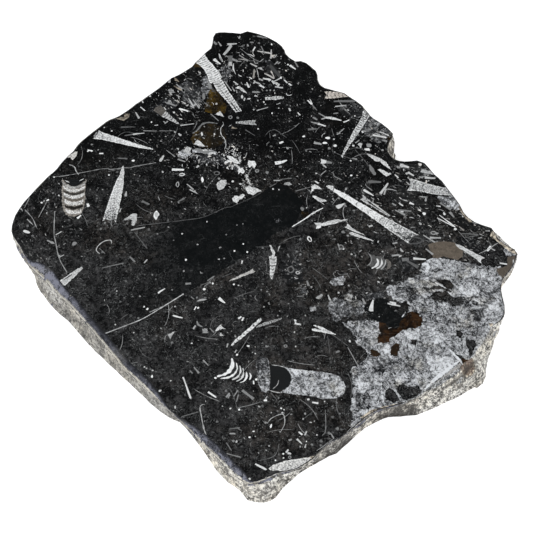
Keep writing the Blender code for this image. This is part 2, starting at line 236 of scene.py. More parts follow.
# Small calcite pieces: splinters and cones, which run from their narrow end to
# their wide end. Each row holds both ends, both widths and how pale the piece is.
splinters = [
    # left corner
    (-130.6, 71, -127.4, 71, 1, 1.3, 0.95), (-140.2, 74.6, -136, 73.2, 0.9, 1.5, 0.9),
    (-115.4, 66.4, -107.6, 65.8, 0.8, 1.4, 0.3), (-139.6, 12.4, -142, 9.4, 1, 1.9, 0.92),
    (-109.2, 19, -110.3, 15.2, 0.5, 1, 0.6), (-106.4, 34.6, -106.8, 29.6, 0.6, 2, 0.6),
    (-135.6, 23.2, -134.4, 20, 1.6, 2, 0.92), (-103.6, 97.6, -116, 97.4, 0.5, 1.6, 0.26),
    (-96, 91.4, -105.4, 90.2, 0.7, 1.5, 0.72), (-105.4, 90.2, -112, 88.8, 1.2, 0.8, 0.3),
    (-97, 93.8, -86, 93.4, 1.1, 0.7, 0.4), (-84, 93.6, -72, 93.6, 0.9, 0.5, 0.32),
    (-157, -5.4, -152.8, -2.2, 0.8, 0.9, 0.7), (-152.4, -25.2, -148.8, -22.8, 0.6, 0.8, 0.6),
    (-119.4, -34.2, -103, -29.8, 0.4, 0.8, 0.4),
    # far left side
    (-101, 118.2, -96.8, 114.2, 0.8, 1.1, 0.8), (-104.6, 112.8, -101, 106, 0.9, 1.8, 0.62),
    (-100.4, 126, -99, 122.4, 1.4, 1, 0.7), (-80.2, 101, -77.6, 103.6, 0.8, 1.2, 0.6),
    (-81.4, 103.4, -79, 101.6, 0.8, 1, 0.55), (-67.2, 99.2, -56, 101, 1.2, 0.7, 0.62),
    (-61.4, 113.8, -69.4, 116.6, 1.2, 1.9, 0.92), (-71.6, 119.4, -79.4, 123, 0.8, 2.8, 0.45),
    (-79, 148.6, -78.4, 144, 2.2, 1.6, 0.62), (-72.6, 142.6, -66.4, 136.2, 1, 1.5, 0.5),
    (-68.6, 90.8, -66.2, 88.8, 1.3, 1.6, 0.72), (-77.4, 74.4, -70, 67.6, 0.5, 1.2, 0.42),
    (-68, 65.4, -61.6, 62.8, 0.8, 1.1, 0.52), (-79.2, 69, -81.8, 63.4, 1.3, 2.4, 0.75),
    (-62, 127.6, -57.4, 118.6, 0.8, 1.5, 0.66), (-58.2, 126, -52.4, 116.6, 0.8, 1.3, 0.6),
    (-60.4, 119.6, -56.6, 117, 0.8, 1, 0.6), (-66, 129, -60, 122, 0.6, 1, 0.4),
    (-72, 55.4, -62.2, 55.2, 2.5, 1.9, 0.92), (-52.8, 57.2, -51, 59.2, 1.1, 1.7, 0.75),
    (-59.6, 41.4, -54.2, 36, 0.8, 1.3, 0.6), (-57.4, 36.4, -51, 32.4, 1.1, 0.6, 0.66),
    (-93.8, 25.4, -87.6, 22.2, 2.2, 1.2, 0.32), (-66, 24.6, -60.8, 28.4, 1.3, 1.7, 0.32),
    (-47.6, 149.2, -43.6, 137.4, 1.4, 2.6, 0.42), (-36.4, 103.8, -43.2, 111.2, 0.6, 1, 0.4),
    # far corner
    (-34.4, 167, -38, 176.4, 0.6, 1, 0.68), (-33.8, 174.8, -27.4, 186, 2.2, 3, 0.62),
    (-31, 186.6, -22.6, 187.6, 2.2, 1, 0.7), (-36.4, 164.6, -42.2, 170.2, 1, 2.9, 0.86),
    (-28.2, 174, -27.8, 163.6, 4, 3, 0.3), (-28.2, 167, -27.8, 163.6, 2.6, 2, 0.62),
    (-38.8, 189.6, -36.2, 184.6, 1, 1.6, 0.55), (-43, 190, -40, 186.4, 1.6, 2.2, 0.4),
    (-20.2, 196.4, -21.2, 193.2, 0.7, 1.1, 0.6), (-5.4, 196.2, 3.4, 193.8, 1.7, 0.9, 0.42),
    (-11.8, 189.4, -8.2, 188.8, 1.2, 1.6, 0.36), (-13.8, 187, -13.2, 184.4, 1, 1.6, 0.45),
    (-25, 145.6, -21.2, 141.8, 1, 1, 0.72), (-26.2, 139.6, -23.8, 134.6, 0.6, 1.1, 0.55),
    (-38.4, 158.2, -35.2, 149.2, 0.5, 0.9, 0.78), (-32.6, 145.8, -26.4, 135, 0.7, 0.9, 0.62),
    (5.2, 163.2, 14, 150.4, 2.6, 2.8, 0.17), (7.6, 144.6, 14.2, 149.2, 0.8, 1.1, 0.7),
    (17, 147.4, 20, 143.8, 1, 1.2, 0.8), (20.8, 143.2, 23.4, 141.2, 1.4, 1.5, 0.85),
    (27.2, 158.8, 22, 163.4, 0.9, 2.2, 0.86), (12, 164.8, 14.2, 166.8, 1, 0.8, 0.55),
    (-0.4, 148.8, 6.2, 147.2, 1.4, 1.9, 0.85), (-4, 148.8, -0.4, 146.4, 1, 1.6, 0.6),
    (-3.2, 141.8, 0.8, 138.6, 2, 1.3, 0.82), (-9.4, 134.2, -2.8, 133.8, 1.9, 1.5, 0.48),
    (-7.4, 130.4, -5.2, 129.4, 1.5, 1.3, 0.7), (9.6, 139.8, 16.6, 138.6, 1.1, 1.6, 0.66),
    (7, 146.4, 9.4, 142.8, 1.6, 2.2, 0.75), (9, 144, 13.2, 142.4, 1.2, 1.2, 0.72),
    (13.4, 142.4, 11.6, 139.8, 1, 1.4, 0.7), (-5.6, 114.6, 4, 118, 1.2, 0.8, 0.58),
    (10.6, 121, 14, 122.4, 0.8, 1, 0.5), (21, 117, 22, 114, 1.2, 1.5, 0.76),
    (-15.4, 128, -16, 124.8, 1, 1.2, 0.62), (36.2, 125.4, 40, 121, 0.9, 1.6, 0.86),
    (38.2, 126.8, 39.8, 122.6, 0.6, 1, 0.72), (40, 120.6, 43.8, 114.6, 1, 0.5, 0.36),
    (26, 168.2, 29.2, 161, 0.9, 1.4, 0.4), (-2.2, 184.8, 1.4, 175.6, 0.9, 0.5, 0.34),
    (28, 112.6, 30, 109.6, 0.9, 1.3, 0.8), (-14.6, 94.8, -6.6, 88.6, 0.9, 0.6, 0.26),
    # far right side
    (58, 124.2, 76, 124.6, 1.2, 2.6, 0.34), (58.8, 118.8, 68.6, 120.2, 1.3, 0.9, 0.62),
    (57, 111.4, 61.2, 112, 0.9, 1.3, 0.42), (63.4, 104.4, 55.6, 106.6, 1, 3, 0.78),
    (55.6, 106.6, 50.4, 107.4, 3, 1.8, 0.78), (50.4, 107, 47, 105.4, 1.6, 1, 0.6),
    (45, 111.8, 50.6, 107.8, 0.7, 1, 0.52), (40.2, 107.4, 44, 105, 1.2, 1.5, 0.42),
    (39, 102.6, 45.2, 100.8, 1.2, 2.1, 0.45), (50.4, 98.4, 44, 100.9, 1.3, 1.9, 0.85),
    (65, 102.4, 69.8, 104.6, 1.3, 1, 0.82), (36, 95, 43.2, 95.8, 2, 1.5, 0.3),
    (61, 91.6, 65.4, 96.2, 1.2, 0.8, 0.5), (59, 90, 62, 91.6, 1, 1.3, 0.55),
    (40.6, 82, 46.6, 80, 2.6, 1.4, 0.55), (88, 89.4, 99.2, 86.8, 1.9, 1.4, 0.82),
    (90, 91.2, 94, 89.4, 0.8, 1.5, 0.6), (94, 92.6, 101.4, 88.8, 0.9, 1.2, 0.7),
    (79.6, 93.6, 80.6, 91.4, 1.2, 1.4, 0.76), (73.6, 81.4, 77, 84, 0.9, 0.8, 0.52),
    (95.6, 84.2, 99.4, 83, 1.3, 1.8, 0.45), (70.4, 66.2, 74.4, 65.4, 1.2, 1.6, 0.4),
    (45.2, 50.2, 49.6, 54.6, 0.8, 0.7, 0.52), (40.2, 44.4, 43.4, 41.8, 1, 1.6, 0.78),
    (54.8, 52.6, 55.6, 48.6, 0.7, 1, 0.34), (55.6, 48.8, 61.4, 45.4, 1.1, 0.9, 0.36),
    (46.8, 60.4, 49.8, 57, 1, 1.4, 0.66), (54.2, 61.8, 49.4, 62.6, 1.8, 3, 0.42),
    (49.8, 62.8, 45.2, 63.2, 3, 5.2, 0.85), (85.4, 30.4, 77.8, 36.2, 1, 2.4, 0.86),
    (91, 32.4, 97.6, 42.6, 2.2, 1.4, 0.74), (93.6, 31.4, 95.6, 37.4, 1.3, 1, 0.6),
    (82, 43.6, 92.4, 43.4, 3, 1.4, 0.28), (64.8, 38, 64, 35.8, 1.4, 1.4, 0.5),
    (97, 12, 83.4, 24.4, 0.6, 1.4, 0.72), (63, 23.4, 56.4, 19.2, 1.1, 3.6, 0.8),
    (62.2, 23.4, 64, 20, 0.8, 1.3, 0.4), (80.2, 2.2, 83.2, 3.2, 1.4, 1.5, 0.62),
    (108, 59.8, 115.2, 57.4, 2.8, 1.9, 0.74), (112, 51, 115, 52.8, 1.8, 1.6, 0.6),
    (118.2, 49.4, 113.8, 52.6, 1.2, 1.9, 0.8), (122, 48.2, 125.4, 47.6, 1.2, 1.5, 0.5),
    (126.6, 47.8, 135, 46.8, 2.5, 1.4, 0.66), (125.8, 28.4, 125.4, 25.2, 1.2, 1.5, 0.6),
    (112.8, 24, 116.4, 22.2, 2.1, 1, 0.9), (104.6, 23.6, 107.8, 20.8, 1.4, 1.1, 0.76),
    (99.4, 23.4, 102.4, 21.4, 1, 1.5, 0.5), (103.6, 17.2, 114, 16, 1.5, 1.2, 0.4),
    (133.2, 9.8, 145, 2.2, 0.9, 1, 0.8), (134.8, 12.6, 146.2, 1.6, 0.6, 1.2, 0.9),
    (125.8, -7.6, 134.4, -8, 1.7, 1.2, 0.6), (121, -5.4, 129.6, -12, 0.9, 1.2, 0.55),
    (112, -26, 121.6, -26.8, 2, 1.1, 0.82), (103.4, -27, 109, -26.4, 3.2, 2, 0.34),
    (96, -23.6, 102.2, -22.8, 1.4, 1.2, 0.52), (97.4, -13, 101, -12, 1.3, 1.4, 0.52),
    (143, 15.4, 146, 10.4, 2.2, 1.4, 0.45), (136.4, 23.8, 144.4, 17, 1.4, 1.2, 0.4),
    (150, -4, 163, -5, 0.6, 0.8, 0.34), (152, -8, 163, -5.4, 0.5, 0.6, 0.3),
    (176, -30, 181.4, -31, 1.1, 1.4, 0.8), (186.5, -26.9, 186.1, -31.4, 0.9, 1.2, 0.7),
    (167.8, -19.4, 171.2, -15.3, 1.2, 2.4, 0.9),
    (122, -17.6, 127, -22.6, 0.9, 1.6, 0.5), (107, -28, 115.6, -34, 1.4, 3, 0.28),
    # middle
    (9.2, 61.6, 14.4, 62.4, 2.9, 2.6, 0.92), (14.4, 62.4, 18.9, 64.4, 2.5, 0.9, 0.92),
    (8, 44.9, 13.4, 44.9, 1.1, 1.1, 0.62), (13.4, 45.8, 22.4, 47, 0.6, 0.8, 0.34),
    (5, 38.8, 10.4, 42, 0.6, 0.5, 0.3), (12.8, 81.2, 16.2, 82.8, 1.6, 1.5, 0.86),
    (25, 34.8, 37.4, 38.8, 0.9, 0.7, 0.3), (7.6, 88.4, 10, 89.6, 1, 1.4, 0.55),
    (-5.6, -16, 6, -15.6, 0.5, 0.5, 0.2), (-57, -47.6, -52.8, -47.2, 1.5, 1.4, 0.42),
    (-71.8, -51.6, -77, -55.4, 0.6, 1.5, 0.9), (-58, -75.6, -65.2, -73.8, 0.9, 1.2, 0.9),
    (-88.4, -29.8, -86.4, -26.8, 1, 0.7, 0.62), (-97.4, -3, -86.8, -17.8, 0.5, 0.8, 0.26),
    (-100.4, -1, -89.6, 1.6, 1.3, 0.9, 0.52), (-99.6, -24.4, -95.2, -29, 1, 1.3, 0.4),
    (-49.8, -69.2, -48.4, -66.2, 0.9, 0.9, 0.92), (-25.6, -99, -24.8, -95.8, 0.8, 1.1, 0.6),
    (-32.4, -59.6, -27.4, -63.6, 2.6, 0.9, 0.94), (-17.8, -76.2, -15.6, -74.6, 1.4, 1.2, 0.92),
    (-15.2, -78, -14, -75.2, 1, 1.6, 0.92), (-19.8, -103.2, -18.8, -100.8, 0.9, 0.7, 0.6),
    (-15.9, -30.6, -15.5, -27.6, 0.6, 1.2, 0.85), (-38.2, -83.8, -34.8, -87.4, 0.8, 1, 0.4),
    (-50, -84.6, -48.2, -81.6, 1.2, 1, 0.6), (-68.8, -71, -65.4, -66, 0.6, 0.7, 0.36),
    (-43.2, -50, -38.6, -45.6, 0.6, 0.7, 0.4), (-41, -45, -36, -41, 0.7, 1, 0.44),
    (-30.4, -42, -23, -38.4, 0.5, 0.6, 0.24), (-52.6, -58.4, -50, -60.4, 0.9, 0.8, 0.36),
    (56.2, -13, 57.8, -18.6, 0.6, 1.5, 0.6), (18, -22, 19.6, -25, 1.2, 0.9, 0.34),
    (-12, -94, -8, -98, 0.4, 0.4, 0.2), (32.2, -45, 33.4, -49.2, 1, 1.8, 0.42),
    (25, -58, 29.6, -57.8, 0.7, 0.8, 0.36), (38.8, -59.6, 43.4, -56.6, 1.8, 1.5, 0.55),
    (47.4, -56.8, 48.8, -61.4, 0.8, 1.4, 0.68), (48.8, -61.4, 51.8, -65, 1.2, 1, 0.5),
    (52, -40, 54.2, -43.2, 0.6, 0.7, 0.32), (60.4, -60, 64.4, -62, 1, 0.7, 0.66),
    (62, -56.2, 65.2, -58.4, 1.2, 1.8, 0.6), (80.2, -60.8, 77.6, -70.4, 0.8, 3.6, 0.8),
    (90.4, -63.8, 99.8, -66.2, 1.4, 1, 0.76), (92, -62.6, 96.4, -64.4, 1, 2.6, 0.8),
    (72.4, -59.8, 74.2, -64.4, 1, 1.8, 0.5), (46, -90, 47.2, -103, 0.4, 0.5, 0.24),
    (51.4, -102.8, 54.2, -101.8, 1.2, 1.6, 0.4), (60, -99, 66.6, -113, 0.5, 0.8, 0.45),
    # near corner
    (-55.6, -121.8, -49.4, -138, 0.9, 1.4, 0.82), (-37.8, -132.8, -32, -137, 1.3, 1, 0.92),
    (-55.4, -151, -43.6, -147.4, 0.6, 0.6, 0.34), (-97.2, -112.2, -87.6, -110.4, 0.5, 0.6, 0.3),
    (-22.8, -159.8, -15.4, -158.8, 0.6, 0.8, 0.34), (-22.4, -163, -18.4, -163.2, 0.9, 0.8, 0.5),
    (-24.4, -169.4, -20.8, -175.2, 0.7, 0.6, 0.34), (-24.2, -177, -14.6, -179.6, 0.6, 0.8, 0.42),
    (-5, -184.2, 2.4, -188, 1.1, 1.5, 0.82), (-25.2, -136.8, -23, -133.6, 1.3, 1, 0.5),
    (-24, -137.6, -22.6, -134.8, 0.8, 0.8, 0.5), (-17.2, -131.6, -20.2, -136.4, 1, 0.6, 0.45),
    (-14.4, -131.6, -6, -138.4, 1.6, 2.2, 0.42), (-16.8, -134.8, -18.2, -140.4, 0.9, 0.6, 0.4),
    (-38.2, -113, -42.2, -108.6, 0.7, 1.1, 0.5), (-48.2, -114.2, -44.6, -119, 0.8, 1.4, 0.45),
    (-51, -117, -49, -119, 0.9, 1, 0.4), (33.8, -140.6, 38.2, -141.2, 1, 1.7, 0.82),
    (24.2, -161.8, 26.8, -164, 1, 1.3, 0.82), (29.6, -161.4, 28.2, -164.4, 0.8, 1, 0.66),
    (23, -166.8, 26.4, -170.4, 1.4, 0.6, 0.76), (28.2, -173, 29, -170.4, 1, 0.7, 0.72),
    (17.4, -167.8, 19.6, -167, 1.2, 1.4, 0.5), (45.8, -162.8, 47.8, -166.6, 0.7, 1, 0.52),
    (15.6, -176.4, 17.2, -174.2, 1.2, 0.9, 0.75), (16.6, -176.6, 19, -177.4, 1.3, 0.9, 0.75),
    (-10.4, -195.2, -8, -194, 1, 1.2, 0.8), (3, -136, 1.8, -138, 0.8, 1, 0.5),
    (5.4, -133.6, 10, -139, 0.5, 0.4, 0.3), (-6.6, -124.4, -6.2, -127.2, 0.9, 1.2, 0.9),
    (1.6, -154.4, 3.6, -155.8, 0.6, 0.6, 0.45),
]

# Round grains: middle, width, height, turn in degrees, how pale.
grains = [
    (-82, 13, 5.2, 9, 0, 0.8), (-82, 13, 3, 6, 0, 0.6), (-103.1, 64, 2.6, 2.2, 0, 0.8),
    (-121.2, 50, 1.6, 1.6, 0, 0.8), (-125, 36.2, 1.4, 1, 20, 0.5), (-158.4, 30.6, 1.4, 1.9, 30, 0.7),
    (-164, 48, 1.6, 1.2, 0, 0.7), (-137.4, 80, 2.8, 1.6, 0, 0.34), (-128.8, 97, 1.3, 1.3, 0, 0.6),
    (-122.6, 93.6, 1.6, 1.9, 0, 0.72), (-139.8, 73.2, 1.5, 1.5, 0, 0.8), (-171, 24, 2.2, 2, 0, 0.75),
    (-166.6, 26.4, 2.8, 2, 20, 0.82), (-169.4, 25.4, 1.6, 1.3, 0, 0.5), (-166, 14.4, 1.3, 1.6, 0, 0.62),
    (-163.4, 33, 2.2, 1.8, 0, 0.34), (-142, -13, 4.2, 3.4, 20, 0.4), (-174.2, -6, 2.6, 2.2, 0, 0.25),
    (-179.4, -2.4, 6.2, 2.8, -25, 0.72), (-107, -53.6, 1.3, 1.3, 0, 0.7), (-91, 102.6, 1.6, 2.2, 0, 0.72),
    (-79.2, 53.2, 1.6, 2.4, 10, 0.6), (-80.4, 127, 1.8, 1.6, 0, 0.5), (-49.6, 129.6, 3, 7, 5, 0.36),
    (-49.6, 90.2, 1.6, 5.2, 8, 0.7), (-39.4, 90.2, 1.6, 2.4, 30, 0.66), (-47.8, 45.6, 2.5, 5.4, 8, 0.95),
    (-24, 44, 2.3, 2.3, 0, 0.7), (-18, 41.6, 2.6, 2.2, 0, 0.6), (-34.6, 46.6, 2.4, 2.2, 0, 0.42),
    (-21, 107, 2.6, 2.6, 0, 0.34), (-4.4, 95.6, 1.6, 1.6, 0, 0.72), (-8, 115.6, 1.8, 1.8, 0, 0.52),
    (-4, 188.2, 2.2, 1.8, 0, 0.34), (7, 186.6, 1.5, 2.6, 15, 0.86), (-8, 144, 1.9, 2.2, 0, 0.6),
    (-14.6, 142, 2.6, 1.9, 0, 0.5), (-17.5, 129, 2.2, 4.4, 5, 0.66), (-12, 126.9, 3, 1.7, 5, 0.62),
    (14.6, 149.4, 2.2, 2.6, 0, 0.86), (20.6, 164, 2, 2, 0, 0.84), (5, 168.8, 2.2, 1.6, 30, 0.4),
    (1.6, 121, 1.6, 1.4, 0, 0.52), (12.6, 117, 1.8, 1.8, 0, 0.5), (7.2, 111.8, 1.7, 2, 0, 0.8),
    (22, 119.4, 1.2, 1.2, 0, 0.5), (2.8, 135.8, 2, 1.6, 0, 0.35), (5.6, 136, 1.7, 1.7, 0, 0.42),
    (8.8, 135.8, 1.8, 2, 0, 0.42), (74.6, 109, 1.7, 1.7, 0, 0.75), (66, 108.2, 1.3, 1.3, 0, 0.4),
    (32.5, 88, 2.7, 1.8, 0, 0.92), (52, 86.4, 4.2, 2.7, 0, 0.88), (56.6, 85.2, 2, 1.6, 0, 0.6),
    (49.4, 81.4, 4.6, 2.6, 0, 0.94), (57.4, 78.8, 3.4, 3.2, 30, 0.76), (52.6, 76, 3, 2.8, 0, 0.34),
    (56.8, 72.4, 1.8, 1.8, 0, 0.34), (34.2, 73.6, 1.8, 1.6, 0, 0.4), (37.4, 72.8, 2.6, 1.2, -30, 0.36),
    (72, 78.8, 2.2, 2.2, 0, 0.72), (77.4, 80, 3.8, 2.8, 20, 0.6), (77.6, 77.4, 1.6, 2.2, 0, 0.72),
    (83, 75.2, 5.6, 3, 0, 0.72), (84.4, 79, 4.6, 4.6, 0, 0.4), (84, 94, 3.6, 3.6, 0, 0.3),
    (95, 74.4, 2.4, 2.2, 0, 0.42), (69.2, 64, 2, 1.8, 0, 0.7), (69, 49.6, 2.3, 2, 0, 0.9),
    (41.6, 51.6, 1.7, 1.7, 0, 0.62), (13.6, 58, 3, 2.4, 0, 0.42), (3, 52.4, 3.2, 3.2, 0, 0.34),
    (1, 46, 2, 1.4, 0, 0.6), (7.6, 36.8, 1.9, 1.9, 0, 0.7), (12.2, 36.2, 1.3, 1.4, 0, 0.6),
    (54, 27.4, 2, 2.4, 0, 0.35), (58.6, 28, 1.8, 1.8, 0, 0.4), (30, 18.6, 3, 4.6, 15, 0.34),
    (33.4, 19.2, 1.4, 2, 0, 0.62), (123.4, 13.8, 3, 3, 0, 0.9), (66, -22.4, 1.9, 1.8, 0, 0.6),
    (69, -23.4, 1.4, 1.6, 0, 0.45), (72.8, -19.6, 3, 1.2, 40, 0.42), (89.4, -20, 1.5, 1.5, 0, 0.6),
    (63.6, -31.4, 2.2, 1.4, -30, 0.4), (86.6, -11.4, 1.2, 2.2, -20, 0.6), (64, -6, 2.2, 2, 0, 0.4),
    (60.6, -2.8, 3.6, 2.8, 0, 0.34), (54, -9, 2.2, 1.8, 0, 0.26), (60.2, -17.4, 1.9, 2.3, 0, 0.94),
    (119.6, 4.8, 2, 3, 35, 0.5), (146, 0, 3, 2.4, 0, 0.7), (-57.6, -27.2, 1.9, 2.3, 0, 0.96),
    (-61.3, -4.2, 1.6, 1.6, 0, 0.66), (-49.4, -13.8, 2, 1.4, 0, 0.5), (-43, 6.5, 1.3, 1.5, 0, 0.62),
    (-15, -13.3, 1.3, 1.8, 0, 0.9), (-21.5, -19.5, 1.6, 1.8, 0, 0.9), (-12, -20.4, 1.5, 2, -20, 0.9),
    (-33, -26.7, 2, 1.4, 0, 0.6), (-29, -26, 1.4, 1.6, 0, 0.42), (-32.4, -16.4, 2.4, 1.8, 20, 0.4),
    (-28, -5, 1.4, 1.4, 0, 0.34), (-20, 3.5, 1.5, 1.5, 0, 0.3), (-15.5, 4.5, 1.3, 1.5, 0, 0.34),
    (-58.8, -36.7, 1.5, 2, 0, 0.42), (-66.6, -52.6, 1.7, 1.5, 0, 0.34), (-89.8, -58, 1.9, 1.5, 0, 0.42),
    (-95, -58.2, 1.5, 1.5, 0, 0.3), (-86.2, -66.6, 1.3, 1.8, -30, 0.85),
    (-83.7, -68.2, 1.7, 2.4, -35, 0.94), (-81.8, -40, 1.5, 1.7, 0, 0.34), (-79, -43.6, 1.2, 1.8, 0, 0.3),
    (-72, 1.6, 1.6, 1.4, 0, 0.4), (-67.6, -10, 1.2, 1.2, 0, 0.3), (-80, -4.4, 1.5, 1.5, 0, 0.34),
    (-106, -81, 1.3, 1.3, 0, 0.7), (-92.2, -87.5, 1.4, 1.4, 0, 0.62), (-43, -52, 2.6, 2.2, 0, 0.84),
    (-36.9, -47.3, 1.7, 2, 0, 0.85), (-38.8, -46.6, 1.8, 1.2, -30, 0.5), (-46.9, -67.4, 1.8, 2.1, 0, 0.92),
    (-21.4, -48.1, 1.7, 2.2, -30, 0.94), (-18, -48.9, 1.5, 1.3, 0, 0.7), (-63.8, -66.4, 1.4, 1.6, 0, 0.6),
    (-10.4, -97.9, 2.8, 1.6, 0, 0.92), (-18.3, -104.8, 1.8, 1.8, 0, 0.92),
    (-50.6, -95.8, 1.5, 1.3, 0, 0.72), (-5.4, -103.8, 1.2, 1.1, 0, 0.72), (-7.4, -102.8, 1, 0.9, 0, 0.5),
    (-10, -110, 0.8, 2.2, -15, 0.42), (-33, -122.5, 2, 1.9, 0, 1), (-4.6, -123.6, 1.5, 2, 0, 0.92),
    (23.2, -98.4, 1.3, 1.5, 0, 0.6), (22.4, -87, 1.4, 1.6, -30, 0.6), (55.2, -55, 1.9, 1.8, 0, 0.62),
    (62.8, -49, 1.8, 1.6, 0, 0.5), (36.4, -68, 3.2, 2.4, 0, 0.45), (26.4, -47, 1.6, 1.6, 0, 0.35),
    (3, -54, 1.5, 1.5, 0, 0.42), (0.6, -66.6, 1.6, 1.4, 0, 0.5), (-1.4, -52.6, 1.4, 1.6, 0, 0.42),
    (10.6, -73.8, 1.2, 1.2, 0, 0.45), (61.6, -94.2, 1.6, 2.4, 20, 0.7), (12, -70, 1.2, 1.2, 0, 0.4),
    (18.4, -64, 1.4, 1.2, 0, 0.4), (-83, -114, 1.4, 1.3, 0, 0.7), (-81.4, -115.2, 1.2, 1.2, 0, 0.6),
    (-77, -116.8, 1.4, 1.4, 0, 0.7), (-77.2, -121.4, 1.6, 2.8, 10, 0.8), (-64, -124.6, 1.4, 1.4, 0, 0.7),
    (-71, -132, 2.4, 2, 0, 0.66), (-60, -144, 1.4, 2.8, 0, 0.6), (1.6, -139, 2.8, 2.2, 0, 0.96),
    (-2.6, -143.6, 2, 1.4, -30, 0.52), (-27.6, -143.4, 1.3, 1, -20, 0.6), (-22.1, -145, 1.6, 1.4, 0, 0.82),
    (-16.2, -145.8, 1.8, 1.8, 0, 0.9), (-9, -165.7, 1.9, 1.4, 0, 0.92), (-6.2, -161.4, 1.7, 1.2, 10, 0.88),
    (-5, -165, 1, 0.9, 0, 0.6), (-17.6, -168.6, 1.6, 2.4, -20, 0.6), (5.5, -157.9, 1.7, 3.6, -22, 0.95),
    (31.3, -138.4, 2.2, 1.7, 15, 0.7), (42.4, -139.9, 1.3, 1.2, 0, 0.72), (12.6, -144.9, 1.4, 1.4, 0, 0.8),
    (14.5, -145.9, 1.2, 1.4, 0, 0.8), (13.2, -148, 1.5, 1.3, 0, 0.6), (28.8, -148.8, 1.6, 2, 0, 0.42),
    (19.4, -149.2, 2.4, 1.4, 20, 0.34), (32.8, -155.2, 1.4, 1.1, 0, 0.6), (35, -154.2, 1, 1.4, 0, 0.5),
    (27.4, -152.6, 0.9, 1.6, -10, 0.6), (36.4, -164, 1.4, 1.4, 0, 0.6), (29.3, -168.6, 1.2, 1.1, 0, 0.92),
    (8.5, -181.8, 1.3, 1.6, 0, 0.86), (13.6, -177.2, 1.6, 1.4, 0, 0.85), (13.9, -180, 1.4, 1.1, 0, 0.8),
    (25, -172.4, 0.8, 1.4, 0, 0.6), (4.2, -171.6, 1.3, 1.5, 0, 0.5), (-2.8, -176.6, 1.1, 1.6, 0, 0.4),
    (2.4, -174.8, 1.3, 1, 0, 0.5), (5.8, -148, 1, 1.2, 0, 0.52), (-12.4, -166.4, 0.8, 2, 30, 0.42),
    (-8.6, -153.4, 1.2, 0.9, 0, 0.4),
]

